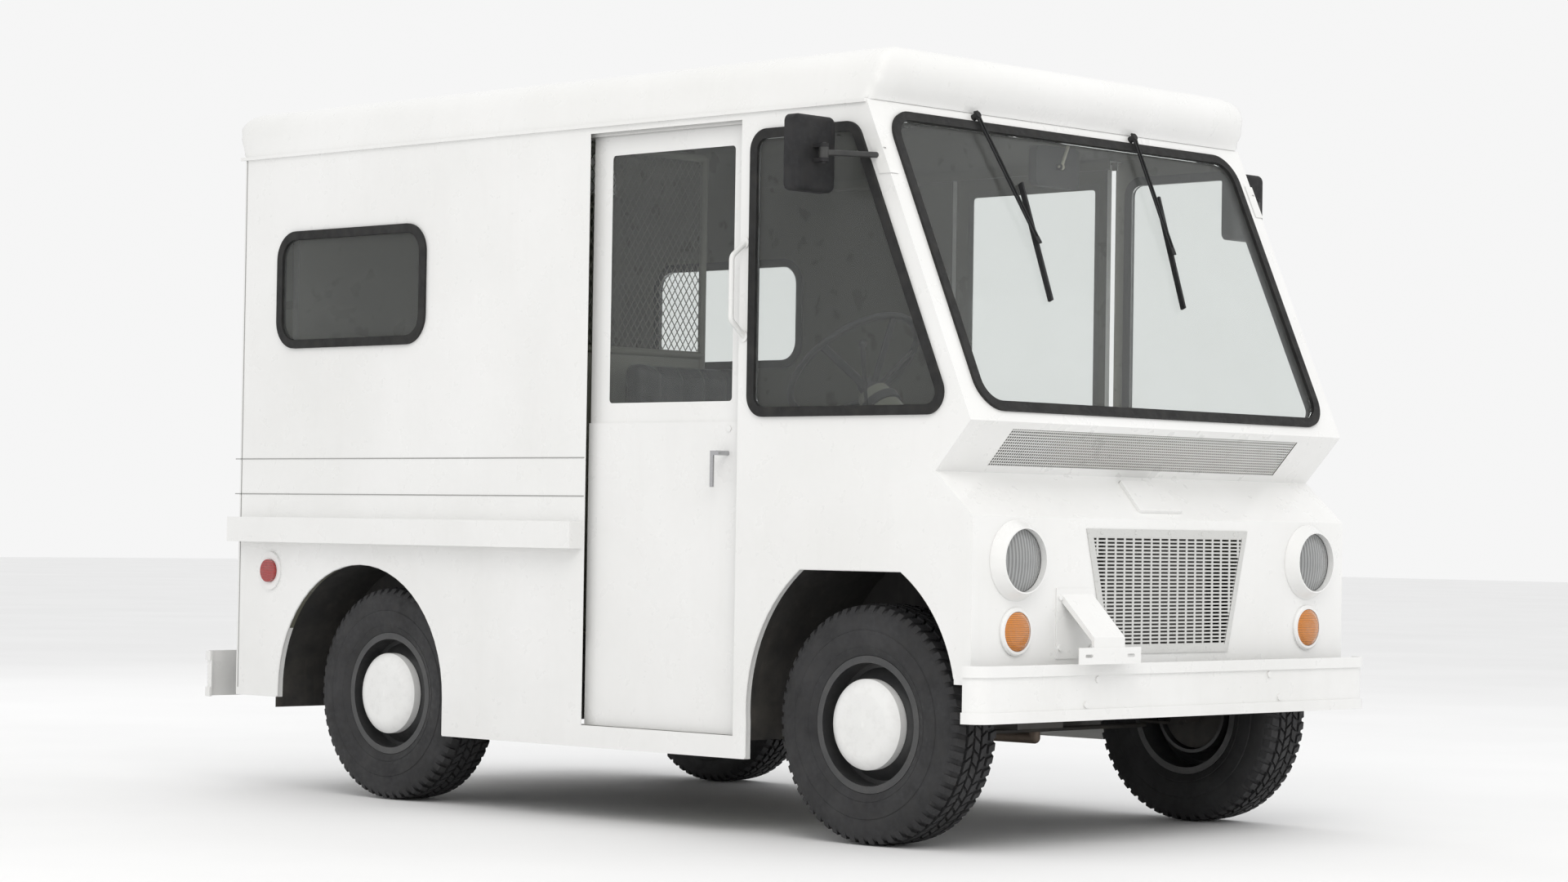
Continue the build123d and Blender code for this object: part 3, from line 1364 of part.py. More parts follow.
# Plate bracket: a carrier plate held out past the bumper by a sloping arm
plate_arm_x = (-482.0, -346.0)
plate_half = 136.0
plate_mid_x = -413.0
plate_y = nose_y - 120.0
plate_z = (519.0, 565.0)
plate_slot = 76.0
arm_profile = outline(
    [
        (nose_y - seat_gap, 712.0),
        (nose_y - seat_gap, 690.0),
        (plate_y + 8.0, 582.0),
        (plate_y + 8.0, plate_z[0] + 8.0),
        (plate_y, plate_z[0] + 8.0),
        (plate_y, 592.0),
    ]
)
with BuildPart() as plate_bracket:
    slab(-504.0, -339.0, nose_y - seat_gap - 3.0, nose_y - seat_gap, 530.0, 726.0)
    with BuildSketch(Plane.YZ.offset(plate_arm_x[0])):
        add(arm_profile)
    extrude(amount=plate_arm_x[1] - plate_arm_x[0])
    slab(plate_mid_x - plate_half, plate_mid_x + plate_half, plate_y - 3.0, plate_y, plate_z[0], plate_z[1])
    for x in (plate_mid_x - 92.0, plate_mid_x + 92.0):
        with BuildSketch(Plane.XZ.offset(-plate_y + 10.0)):
            with Locations((x, sum(plate_z) / 2)):
                SlotOverall(34.0, 9.0)
        extrude(amount=-30.0, mode=Mode.SUBTRACT)
    for x, z in ((-490.0, 700.0), (-352.0, 560.0), (-490.0, 560.0)):
        with Locations((x, nose_y - seat_gap - 5.0, z)):
            Cylinder(8.0, 6.0, rotation=(90, 0, 0))
save(plate_bracket, "plate_bracket")

# Grille: a flanged frame with rows of slots
slot_rows = 9
slot_pitch = 33.0
slot_high = 8.0
grille_face = outline(grille_points, 0.0, -grille_flange + 1.0)
with BuildPart() as grille:
    with BuildSketch(Plane.XZ.offset(-nose_y + seat_gap)):
        add(outline(grille_points))
        add(grille_hole, mode=Mode.SUBTRACT)
    extrude(amount=3.7)
    with BuildSketch(Plane.XZ.offset(-nose_y + seat_gap)):
        add(grille_face)
        for row in range(slot_rows):
            z = grille_bottom_z + 44.0 + row * slot_pitch
            spread = (z - grille_bottom_z) / (grille_top_z - grille_bottom_z)
            reach = grille_bottom_half + spread * (grille_top_half - grille_bottom_half) - 50.0
            with Locations((-reach / 2, z), (reach / 2, z)):
                Rectangle(reach - 12.0, slot_high, mode=Mode.SUBTRACT)
    extrude(amount=2.0)
save(grille, "grille")

# Lamps: sealed beams and turn lenses in the nose, oval markers on the sides, round tail lamps
marker_y = rear_y - 175.0
marker_z = 716.0
tail_x = 770.0
tail_z = 760.0
lens_r = 37.0
tail_r = 48.0


def front_turned(x, z, points):
    """A ring or lens turned about an axis along Y: points are radius against reach ahead of the nose."""
    with BuildSketch(Plane(origin=(x, nose_y, z), x_dir=(1, 0, 0), z_dir=(0, 0, 1))) as profile:
        with BuildLine():
            Polyline(*[(r, -reach) for r, reach in points], close=True)
        make_face()
    revolve(profile.sketch, axis=Axis((x, nose_y, z), (0, 1, 0)))


def rear_turned(x, z, points):
    with BuildSketch(Plane(origin=(x, rear_y, z), x_dir=(1, 0, 0), z_dir=(0, 0, 1))) as profile:
        with BuildLine():
            Polyline(*points, close=True)
        make_face()
    revolve(profile.sketch, axis=Axis((x, rear_y, z), (0, 1, 0)))


lamp_lens_r = lamp_radius - seat_gap
with BuildPart() as headlamps:
    for side in (-1, 1):
        front_turned(
            side * lamp_x,
            lamp_z,
            [(0, -60.0), (34.0, -60.0), (lamp_lens_r, -12.0), (lamp_lens_r, 16.0), (60.0, 25.0), (30.0, 31.0), (0, 33.0)],
        )
save(headlamps, "headlamps")

with BuildPart() as turn_lenses:
    for side in (-1, 1):
        front_turned(
            side * lamp_x,
            turn_z,
            [(0, -14.0), (46.0, -14.0), (46.0, 3.0), (54.0, 3.0), (54.0, 9.0), (42.0, 16.0), (22.0, 20.0), (0, 21.0)],
        )
save(turn_lenses, "turn_lenses")

with BuildPart() as lamp_bezels:
    for side in (-1, 1):
        front_turned(
            side * lamp_x,
            lamp_z,
            [(lamp_bezel, seat_gap), (lamp_bezel, 3.0), (91.0, 37.0), (87.0, 37.0), (87.0, 17.0), (94.0, 14.0), (94.0, seat_gap)],
        )
        front_turned(
            side * lamp_x,
            turn_z,
            [(turn_ring, seat_gap), (turn_ring, 6.0), (62.0, 10.0), (55.0, 10.0), (55.0, seat_gap)],
        )
        rear_turned(side * tail_x, tail_z, [(60.0, seat_gap), (60.0, 9.0), (tail_r + 2.0, 12.0), (tail_r + 2.0, seat_gap)])
        with BuildSketch(Plane.YZ.offset(side * (half + seat_gap))):
            with Locations((marker_y, marker_z)):
                Ellipse(51.5, 62.0)
                Circle(lens_r + 1.0, mode=Mode.SUBTRACT)
        extrude(amount=side * 7.0)
save(lamp_bezels, "lamp_bezels")

with BuildPart() as red_lenses:
    for side in (-1, 1):
        rear_turned(
            side * tail_x,
            tail_z,
            [(0, seat_gap), (tail_r, seat_gap), (tail_r, 12.0), (tail_r - 10.0, 19.0), (18.0, 23.0), (0, 24.0)],
        )
        with BuildSketch(Plane.YZ.offset(side * (half + seat_gap))):
            with Locations((marker_y, marker_z)):
                Circle(lens_r)
        extrude(amount=side * 17.0)
save(red_lenses, "red_lenses")

# Grab handles ahead of the doors
grab_y = door_front_y - 21.0
grab_x = half + 55.0
grab_feet_z = (1428.0, 1697.0)
grab_bar_z = (1473.0, 1655.0)
grab_r = 8.0
grab_points = (
    (half + seat_gap, grab_y, grab_feet_z[0]),
    (grab_x, grab_y, grab_bar_z[0]),
    (grab_x, grab_y, grab_bar_z[1]),
    (half + seat_gap, grab_y, grab_feet_z[1]),
)
with BuildPart() as grab_handles:
    with BuildLine() as grab_line:
        FilletPolyline(*grab_points, radius=22.0)
    with BuildSketch(Plane(origin=grab_line.line @ 0, z_dir=grab_line.line % 0)):
        Circle(grab_r)
    sweep()
    slab(half - 30.0, half + seat_gap, grab_y - 16.0, grab_y + 16.0, 1300.0, 1800.0, Mode.SUBTRACT)
    for z in grab_feet_z:
        with Locations((half + seat_gap + 2.0, grab_y, z)):
            Cylinder(16.0, 4.0, rotation=(0, 90, 0))
    mirror(about=Plane.YZ)
save(grab_handles, "grab_handles")

# Mirrors: plates wrapped round the pillars with arms, heads that turn on them, and the inside mirror
mirror_plate_z = (1867.0, 1965.0)
mirror_plate_run = pillar_width - 17.0
mirror_pivot = (half + 139.0, front_axle_y + 17.0)
mirror_mid_z = 1918.0
mirror_pin_r = 6.0
mirror_size = (165.0, 45.0, 212.0)
head_front_y = mirror_pivot[1] + 28.0
arm_root_y = screen_y(mirror_mid_z) + 24.0
arm_root = Vector(half + 2.0, arm_root_y, mirror_mid_z)
arm_end = Vector(mirror_pivot[0], mirror_pivot[1], mirror_mid_z)
arm_run = arm_end - arm_root
lug_reach = 14.0
header_foot_z = (2057.0, 2077.0)
inside_x = 45.0
inside_pivot = (front_axle_y + 29.0, 1965.0)
plate_side = [
    (screen_y(mirror_plate_z[0]) - 3.5, mirror_plate_z[0]),
    (screen_y(mirror_plate_z[1]) - 3.5, mirror_plate_z[1]),
    (screen_y(mirror_plate_z[1]) + mirror_plate_run, mirror_plate_z[1]),
    (screen_y(mirror_plate_z[0]) + mirror_plate_run, mirror_plate_z[0]),
]
plate_front = [
    (screen_y(mirror_plate_z[0]) - 3.5, mirror_plate_z[0]),
    (screen_y(mirror_plate_z[1]) - 3.5, mirror_plate_z[1]),
    (screen_y(mirror_plate_z[1]) - 0.8, mirror_plate_z[1]),
    (screen_y(mirror_plate_z[0]) - 0.8, mirror_plate_z[0]),
]
header_foot = [
    (screen_y(header_foot_z[0]) + 2.9, header_foot_z[0]),
    (screen_y(header_foot_z[1]) + 2.9, header_foot_z[1]),
    (screen_y(header_foot_z[1]) + 8.0, header_foot_z[1]),
    (screen_y(header_foot_z[0]) + 8.0, header_foot_z[0]),
]
stem_root = Vector(inside_x, screen_y(sum(header_foot_z) / 2) + 5.5, sum(header_foot_z) / 2)
stem_end = Vector(inside_x, inside_pivot[0], inside_pivot[1])
stem_run = stem_end - stem_root
with BuildPart() as mirror_brackets:
    with BuildSketch(Plane.YZ.offset(half + seat_gap)):
        add(outline(plate_side))
    extrude(amount=3.0)
    with BuildSketch(Plane.YZ.offset(half - 31.0)):
        add(outline(plate_front))
    extrude(amount=34.0)
    with BuildSketch(Plane(origin=arm_root, z_dir=arm_run)):
        Circle(8.5)
    extrude(amount=arm_run.length)
    with Locations(arm_end):
        Cylinder(lug_reach, 29.4)
        Cylinder(mirror_pin_r, 56.0)
    slab(half - 12.0, half + seat_gap, arm_root_y - 20.0, arm_root_y + 20.0, 1900.0, 1940.0, Mode.SUBTRACT)
    mirror(about=Plane.YZ)
    with BuildSketch(Plane.YZ.offset(inside_x - 20.0)):
        add(outline(header_foot))
    extrude(amount=40.0)
    with BuildSketch(Plane(origin=stem_root, z_dir=stem_run)):
        Circle(5.0)
    extrude(amount=stem_run.length)
    with Locations(stem_end):
        Cylinder(9.0, 9.4, rotation=(0, 90, 0))
        Cylinder(4.0, 24.0, rotation=(0, 90, 0))
save(mirror_brackets, "mirror_brackets")


def mirror_head(side):
    """Boxed head with two lugs that turn on the arm's pin."""
    x = side * mirror_pivot[0]
    wide, deep, high = mirror_size
    with BuildPart() as head:
        with Locations((x, head_front_y + deep / 2, mirror_mid_z)):
            Box(wide, deep, high)
        fillet(head.edges().filter_by(Axis.Y), 22.0)
        fillet(head.faces().sort_by(Axis.Y)[0].edges(), 14.0)
        for z in (mirror_mid_z - 20.0, mirror_mid_z + 20.0):
            slab(x - lug_reach, x + lug_reach, mirror_pivot[1], head_front_y + 16.0, z - 5.0, z + 5.0)
            with Locations((x, mirror_pivot[1], z)):
                Cylinder(lug_reach, 10.0)
                Cylinder(mirror_pin_r + run_gap, 10.0, mode=Mode.SUBTRACT)
    return head


for side, name in ((-1, "right"), (1, "left")):
    save(mirror_head(side), f"mirror_{name}")

with BuildPart() as inside_mirror:
    with Locations((inside_x, inside_pivot[0] + 28.0, inside_pivot[1])):
        Box(200.0, 30.0, 120.0)
    fillet(inside_mirror.edges().filter_by(Axis.Y), 18.0)
    for x in (inside_x - 7.5, inside_x + 7.5):
        with Locations((x, inside_pivot[0], inside_pivot[1])):
            Cylinder(9.0, 5.0, rotation=(0, 90, 0))
        slab(x - 2.5, x + 2.5, inside_pivot[0], inside_pivot[0] + 14.0, inside_pivot[1] - 9.0, inside_pivot[1] + 9.0)
    with Locations((inside_x, inside_pivot[0], inside_pivot[1])):
        Cylinder(4.0 + run_gap, 30.0, rotation=(0, 90, 0), mode=Mode.SUBTRACT)
save(inside_mirror, "inside_mirror")

# Wipers on the header: twin-rod arms and blades lying on the glass
wiper_joints = ((-325.0, 1706.0), (307.5, 1716.0))
wiper_tips = ((-347.0, 1531.0), (272.0, 1531.0))
blade_length = 380.0
arm_lift = 15.0


def screen_point(x, z, lift):
    s = (z - ledge_z) * slope
    return screen_plane.from_local_coords((x, s, lift))


def wiper(spot, joint, tip):
    """Boss and spindle, two rods to the joint, and the blade."""
    boss = Vector(spot[0], spot[1], 0)
    knee = Vector(joint[0], (joint[1] - ledge_z) * slope, 0)
    end = Vector(tip[0], (tip[1] - ledge_z) * slope, 0)
    reach = knee - boss
    turn = degrees(atan2(reach.Y, reach.X))
    along = end - knee
    lean = degrees(atan2(along.Y, along.X))
    with BuildPart() as arm:
        with BuildSketch(screen_plane.offset(-3 * skin)):
            with Locations(boss):
                Circle(wiper_pin_r)
        extrude(amount=3 * skin + 3.0)
        with BuildSketch(screen_plane.offset(seat_gap)):
            with Locations(boss):
                Circle(10.0)
        extrude(amount=arm_lift + 8.0)
        with BuildSketch(screen_plane.offset(arm_lift)):
            with Locations(Location(tuple((boss + knee) / 2), (0, 0, turn))):
                with Locations((0, -6.0), (0, 6.0)):
                    Rectangle(reach.length, 4.5)
            with Locations(Location(tuple(knee), (0, 0, turn))):
                Rectangle(22.0, 18.0)
            with Locations(Location(tuple(boss), (0, 0, turn))):
                Rectangle(26.0, 18.0)
        extrude(amount=5.0)
        with BuildSketch(screen_plane.offset(seat_gap - glass_back)):
            with Locations(Location(tuple(knee), (0, 0, lean))):
                Rectangle(blade_length, 8.0)
        extrude(amount=arm_lift + 1.0)
    return arm


for name, spot, joint, tip in zip(("right", "left"), wiper_spots, wiper_joints, wiper_tips):
    save(wiper(spot, joint, tip), f"wiper_{name}")

# Exhaust under the left of the engine, and the brake pedal on its ears
pipe_x = 132.0
pipe_r = 17.0
pipe_z = 262.0
pipe_drop_y = engine_rear_y - 18.0
silencer_y = (step_rear_y + 155.0, step_rear_y + 615.0)
pipe_end_y = rear_y + 30.0
with BuildPart() as exhaust:
    with Locations((pipe_x, pipe_drop_y, (pipe_z + 400.0 - seat_gap) / 2)):
        Cylinder(pipe_r, 400.0 - seat_gap - pipe_z)
    with Locations((pipe_x, (pipe_drop_y + pipe_end_y) / 2, pipe_z)):
        Cylinder(pipe_r, pipe_end_y - pipe_drop_y, rotation=(90, 0, 0))
    with Locations((pipe_x, pipe_drop_y, pipe_z)):
        Sphere(pipe_r)
    with Locations((pipe_x, sum(silencer_y) / 2, pipe_z + 24.0)):
        Cylinder(50.0, silencer_y[1] - silencer_y[0], rotation=(90, 0, 0))
    for y in (cross_stations[1], cross_stations[3]):
        slab(pipe_x - 4.0, pipe_x + 4.0, y - 8.0, y + 8.0, pipe_z, rail_top_z - cross_depth - seat_gap)
save(exhaust, "exhaust")

pad_mid = (pedal_pivot[0] + 100.0, pedal_pivot[1] + 116.0)
pedal_arm = [
    (pedal_pivot[0] - 4.0, pedal_pivot[1] + 4.0),
    (pad_mid[0] - 4.0, pad_mid[1] + 4.0),
    (pad_mid[0] + 4.0, pad_mid[1] - 4.0),
    (pedal_pivot[0] + 4.0, pedal_pivot[1] - 4.0),
]
pad_face = [
    (pad_mid[0] - 26.0, pad_mid[1] + 24.0),
    (pad_mid[0] - 20.0, pad_mid[1] + 30.0),
    (pad_mid[0] + 30.0, pad_mid[1] - 20.0),
    (pad_mid[0] + 24.0, pad_mid[1] - 26.0),
]
with BuildPart() as brake_pedal:
    with Locations((pedal_x, pedal_pivot[0], pedal_pivot[1])):
        Cylinder(pedal_pin_r, 36.0, rotation=(0, 90, 0))
        Cylinder(11.0, 17.4, rotation=(0, 90, 0))
    with BuildSketch(Plane.YZ.offset(pedal_x - 8.0)):
        add(outline(pedal_arm))
    extrude(amount=16.0)
    with BuildSketch(Plane.YZ.offset(pedal_x - 34.0)):
        add(outline(pad_face))
    extrude(amount=68.0)
save(brake_pedal, "brake_pedal")
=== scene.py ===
import json
import math

import bmesh
import bpy
from mathutils import Matrix, Vector


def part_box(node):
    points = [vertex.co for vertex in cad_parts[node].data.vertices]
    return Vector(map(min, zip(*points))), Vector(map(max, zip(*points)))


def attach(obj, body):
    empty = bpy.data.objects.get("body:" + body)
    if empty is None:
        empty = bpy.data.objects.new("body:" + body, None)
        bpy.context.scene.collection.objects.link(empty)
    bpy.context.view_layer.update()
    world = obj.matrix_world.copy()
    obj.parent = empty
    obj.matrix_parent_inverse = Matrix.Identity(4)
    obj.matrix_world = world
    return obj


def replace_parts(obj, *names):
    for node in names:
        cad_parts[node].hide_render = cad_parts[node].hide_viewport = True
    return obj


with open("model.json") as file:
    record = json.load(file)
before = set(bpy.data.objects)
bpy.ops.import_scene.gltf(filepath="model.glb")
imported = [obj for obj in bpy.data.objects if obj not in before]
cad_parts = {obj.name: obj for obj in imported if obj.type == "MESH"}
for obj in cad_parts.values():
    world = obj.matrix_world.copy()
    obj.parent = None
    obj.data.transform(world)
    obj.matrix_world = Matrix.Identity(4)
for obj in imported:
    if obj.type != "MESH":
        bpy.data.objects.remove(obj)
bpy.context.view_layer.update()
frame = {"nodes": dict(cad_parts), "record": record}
scene = bpy.context.scene
print("frame loaded,", len(frame["nodes"]), "nodes")

# where the running gear sits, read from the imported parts
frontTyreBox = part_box("tyre_front_right")
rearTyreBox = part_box("tyre_rear_right")
frontAxleY = (frontTyreBox[0][1] + frontTyreBox[1][1]) / 2
rearAxleY = (rearTyreBox[0][1] + rearTyreBox[1][1]) / 2
tyreRadius = (frontTyreBox[1][2] - frontTyreBox[0][2]) / 2
wheelX = abs(frontTyreBox[0][0] + frontTyreBox[1][0]) / 2
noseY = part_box("front_shell")[0][1]
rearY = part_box("rear_wall")[1][1]


def newMaterial(name):
    material = bpy.data.materials.new(name)
    material.use_nodes = True
    tree = material.node_tree
    shader = next(n for n in tree.nodes if n.type == "BSDF_PRINCIPLED")
    return material, tree, shader


def objectCoords(tree, stretch=(1, 1, 1)):
    coords = tree.nodes.new("ShaderNodeTexCoord")
    mapping = tree.nodes.new("ShaderNodeMapping")
    mapping.inputs["Scale"].default_value = stretch
    tree.links.new(coords.outputs["Object"], mapping.inputs["Vector"])
    return mapping.outputs["Vector"]


def noise(tree, vector, scale, detail=4.0, roughness=0.55, distortion=0.0):
    node = tree.nodes.new("ShaderNodeTexNoise")
    node.inputs["Scale"].default_value = scale
    node.inputs["Detail"].default_value = detail
    node.inputs["Roughness"].default_value = roughness
    node.inputs["Distortion"].default_value = distortion
    tree.links.new(vector, node.inputs["Vector"])
    return node.outputs["Fac"]


def ramp(tree, value, low, high, toLow=0.0, toHigh=1.0):
    node = tree.nodes.new("ShaderNodeMapRange")
    node.inputs["From Min"].default_value = low
    node.inputs["From Max"].default_value = high
    node.inputs["To Min"].default_value = toLow
    node.inputs["To Max"].default_value = toHigh
    node.clamp = True
    tree.links.new(value, node.inputs["Value"])
    return node.outputs["Result"]


def maths(tree, kind, first, second=None):
    node = tree.nodes.new("ShaderNodeMath")
    node.operation = kind
    for slot, value in zip(node.inputs, (first, second)):
        if isinstance(value, (int, float)):
            slot.default_value = value
        elif value is not None:
            tree.links.new(value, slot)
    return node.outputs[0]


def blendColour(tree, amount, first, second):
    node = tree.nodes.new("ShaderNodeMix")
    node.data_type = "RGBA"
    factorSlot = node.inputs[0]
    tree.links.new(amount, factorSlot)
    for slot, value in zip((node.inputs[6], node.inputs[7]), (first, second)):
        if isinstance(value, tuple):
            slot.default_value = (*value, 1.0)
        else:
            tree.links.new(value, slot)
    return node.outputs[2]


def bump(tree, shader, height, strength, distance):
    node = tree.nodes.new("ShaderNodeBump")
    node.inputs["Strength"].default_value = strength
    node.inputs["Distance"].default_value = distance
    tree.links.new(height, node.inputs["Height"])
    previous = shader.inputs["Normal"].links
    if previous:
        tree.links.new(previous[0].from_socket, node.inputs["Normal"])
    tree.links.new(node.outputs["Normal"], shader.inputs["Normal"])


def heightOf(tree):
    coords = tree.nodes.new("ShaderNodeTexCoord")
    split = tree.nodes.new("ShaderNodeSeparateXYZ")
    tree.links.new(coords.outputs["Object"], split.inputs[0])
    return split


# the cabin side of the sheets: faces that look inward, within these limits
liningLook = {
    "turned": (-0.30, -0.34), "facingDown": (-0.25, -0.30), "ceilingZ": (2.215, 2.217), "lowestZ": (0.53, 0.532),
    "sideX": (0.8608, 0.8606), "endY": (1.6060, 1.6055),
}


def insideOf(tree):
    coords = tree.nodes.new("ShaderNodeTexCoord")
    facing = tree.nodes.new("ShaderNodeSeparateXYZ")
    tree.links.new(coords.outputs["Normal"], facing.inputs[0])
    spot = heightOf(tree)
    away = []
    for axis in ("X", "Y"):
        toward = maths(tree, "MULTIPLY", facing.outputs[axis], maths(tree, "SIGN", spot.outputs[axis]))
        away.append(ramp(tree, toward, *liningLook["turned"]))
    down = ramp(tree, facing.outputs["Z"], *liningLook["facingDown"])
    ceiling = maths(tree, "MULTIPLY", down, ramp(tree, spot.outputs["Z"], *liningLook["ceilingZ"]))
    inward = maths(tree, "MAXIMUM", maths(tree, "MAXIMUM", *away), ceiling)
    clear = ramp(tree, spot.outputs["Z"], *liningLook["lowestZ"])
    within = ramp(tree, maths(tree, "ABSOLUTE", spot.outputs["X"]), *liningLook["sideX"])
    short = ramp(tree, maths(tree, "ABSOLUTE", spot.outputs["Y"]), *liningLook["endY"])
    inward = maths(tree, "MULTIPLY", inward, clear)
    return maths(tree, "MULTIPLY", inward, maths(tree, "MULTIPLY", within, short))


def paintedMetal(name, colour, look):
    material, tree, shader = newMaterial(name)
    flat = objectCoords(tree)
    streaks = objectCoords(tree, (1.0, 1.0, 0.12))
    cloud = noise(tree, flat, look["cloudScale"], 5.0)
    colourNow = blendColour(tree, ramp(tree, cloud, 0.35, 0.7), colour, look["faded"])
    runs = noise(tree, streaks, 26.0, 6.0, 0.6)
    grime = ramp(tree, runs, 0.52, 0.80, 0.0, look["streak"])
    colourNow = blendColour(tree, grime, colourNow, look["grime"])
    low = ramp(tree, heightOf(tree).outputs["Z"], look["splashTop"], 0.1, 0.0, 1.0)
    splash = maths(tree, "MULTIPLY", low, ramp(tree, noise(tree, flat, 9.0, 8.0, 0.65), 0.35, 0.75))
    splash = maths(tree, "MULTIPLY", splash, look["splash"])
    colourNow = blendColour(tree, splash, colourNow, look["grime"])
    chips = ramp(tree, noise(tree, flat, 85.0, 3.0, 0.6), 0.74, 0.765, 0.0, look["chips"])
    colourNow = blendColour(tree, chips, colourNow, look["chipColour"])
    if "inside" in look:
        darker = tuple(c * 0.78 for c in look["inside"])
        lining = blendColour(tree, ramp(tree, cloud, 0.3, 0.7), look["inside"], darker)
        colourNow = blendColour(tree, insideOf(tree), colourNow, lining)
    tree.links.new(colourNow, shader.inputs["Base Color"])
    rough = ramp(tree, noise(tree, flat, 14.0, 5.0), 0.3, 0.7, look["roughLow"], look["roughHigh"])
    tree.links.new(maths(tree, "ADD", rough, maths(tree, "MULTIPLY", splash, 0.35)), shader.inputs["Roughness"])
    shader.inputs["Coat Weight"].default_value = look["coat"]
    shader.inputs["Coat Roughness"].default_value = 0.12
    bump(tree, shader, noise(tree, flat, 620.0, 2.0), 0.06, 0.0006)
    bump(tree, shader, noise(tree, flat, 2.4, 2.0), 0.12, 0.012)
    return material


bodyLook = {
    "cloudScale": 1.7, "faded": (0.80, 0.80, 0.785), "grime": (0.45, 0.43, 0.39), "streak": 0.035,
    "splashTop": 0.80, "splash": 0.06, "chips": 0.02, "chipColour": (0.42, 0.38, 0.32),
    "roughLow": 0.24, "roughHigh": 0.38, "coat": 0.35, "inside": (0.150, 0.148, 0.112),
}
bumperLook = dict(bodyLook, streak=0.05, splash=0.12, chips=0.06)
del bumperLook["inside"]
cabinLook = dict(
    bumperLook, faded=(0.125, 0.125, 0.10), grime=(0.06, 0.055, 0.045), coat=0.1, roughLow=0.4, roughHigh=0.6,
)
blackLook = dict(
    bumperLook, faded=(0.028, 0.027, 0.026), grime=(0.10, 0.09, 0.075), streak=0.35, coat=0.05,
    roughLow=0.45, roughHigh=0.75, splash=0.85,
)
whitePaint = paintedMetal("whiteEnamel", (0.855, 0.855, 0.845), bodyLook)
bumperPaint = paintedMetal("bumperEnamel", (0.85, 0.85, 0.84), bumperLook)
cabinPaint = paintedMetal("oliveCabinPaint", (0.165, 0.165, 0.13), cabinLook)
chassisPaint = paintedMetal("chassisBlack", (0.018, 0.018, 0.018), blackLook)
meshPaint = paintedMetal("meshEnamel", (0.66, 0.66, 0.64), bumperLook)
seamPaint = paintedMetal("seamShade", (0.30, 0.30, 0.29), dict(bumperLook, faded=(0.36, 0.36, 0.35)))
ironFinish = paintedMetal("castIron", (0.09, 0.088, 0.085), dict(blackLook, faded=(0.14, 0.13, 0.12)))


# white hub cap on a dark disc, told apart by place
wheelLook = {
    "capFace": (0.0545, 0.0548), "capRadius": (0.1285, 0.1282), "rim": (0.030, 0.031, 0.033),
    "rimWorn": (0.050, 0.050, 0.050), "cap": (0.84, 0.84, 0.83), "capWorn": (0.78, 0.78, 0.765),
    "dust": (0.22, 0.20, 0.17), "dustAmount": 0.12,
}


def wheelPaint():
    material, tree, shader = newMaterial("wheelEnamel")
    flat = objectCoords(tree)
    split = heightOf(tree)
    across = maths(tree, "ABSOLUTE", split.outputs["X"])
    isCap = ramp(tree, across, *(wheelX + out for out in wheelLook["capFace"]))
    aboveAxle = maths(tree, "SUBTRACT", split.outputs["Z"], tyreRadius)
    toFront = maths(tree, "ABSOLUTE", maths(tree, "SUBTRACT", split.outputs["Y"], frontAxleY))
    toRear = maths(tree, "ABSOLUTE", maths(tree, "SUBTRACT", split.outputs["Y"], rearAxleY))
    along = maths(tree, "MINIMUM", toFront, toRear)
    squares = (maths(tree, "MULTIPLY", length, length) for length in (along, aboveAxle))
    radius = maths(tree, "SQRT", maths(tree, "ADD", *squares))
    capMask = maths(tree, "MULTIPLY", isCap, ramp(tree, radius, *wheelLook["capRadius"]))
    cloud = ramp(tree, noise(tree, flat, 5.0, 5.0), 0.3, 0.7)
    rim = blendColour(tree, cloud, wheelLook["rim"], wheelLook["rimWorn"])
    cap = blendColour(tree, cloud, wheelLook["cap"], wheelLook["capWorn"])
    colourNow = blendColour(tree, capMask, rim, cap)
    dust = ramp(tree, noise(tree, flat, 38.0, 7.0, 0.65), 0.5, 0.8, 0.0, wheelLook["dustAmount"])
    colourNow = blendColour(tree, dust, colourNow, wheelLook["dust"])
    tree.links.new(colourNow, shader.inputs["Base Color"])
    tree.links.new(ramp(tree, noise(tree, flat, 22.0), 0.3, 0.7, 0.30, 0.52), shader.inputs["Roughness"])
    shader.inputs["Coat Weight"].default_value = 0.2
    bump(tree, shader, noise(tree, flat, 420.0, 2.0), 0.08, 0.0008)
    return material


def rubber(name, colour, dustColour, dust, grain):
    material, tree, shader = newMaterial(name)
    flat = objectCoords(tree)
    cloud = ramp(tree, noise(tree, flat, 8.0, 6.0), 0.3, 0.72)
    colourNow = blendColour(tree, cloud, colour, tuple(c * 1.9 for c in colour))
    dusty = ramp(tree, noise(tree, flat, 30.0, 8.0, 0.7), 0.48, 0.78, 0.0, dust)
    tree.links.new(blendColour(tree, dusty, colourNow, dustColour), shader.inputs["Base Color"])
    tree.links.new(ramp(tree, noise(tree, flat, 60.0), 0.3, 0.7, 0.55, 0.85), shader.inputs["Roughness"])
    shader.inputs["Specular IOR Level"].default_value = 0.35
    bump(tree, shader, noise(tree, flat, grain, 3.0), 0.25, 0.0006)
    return material


def glass(name, tint, rough, smear):
    material, tree, shader = newMaterial(name)
    flat = objectCoords(tree)
    film = ramp(tree, noise(tree, flat, 5.0, 6.0, 0.6), 0.45, 0.85, 0.0, smear)
    tree.links.new(blendColour(tree, film, tint, (0.55, 0.55, 0.50)), shader.inputs["Base Color"])
    roughNow = ramp(tree, noise(tree, flat, 11.0, 5.0), 0.4, 0.8, rough, rough + 0.05)
    tree.links.new(roughNow, shader.inputs["Roughness"])
    shader.inputs["Transmission Weight"].default_value = 0.96
    shader.inputs["IOR"].default_value = 1.16
    bump(tree, shader, noise(tree, flat, 3.2, 2.0), 0.03, 0.001)
    return material


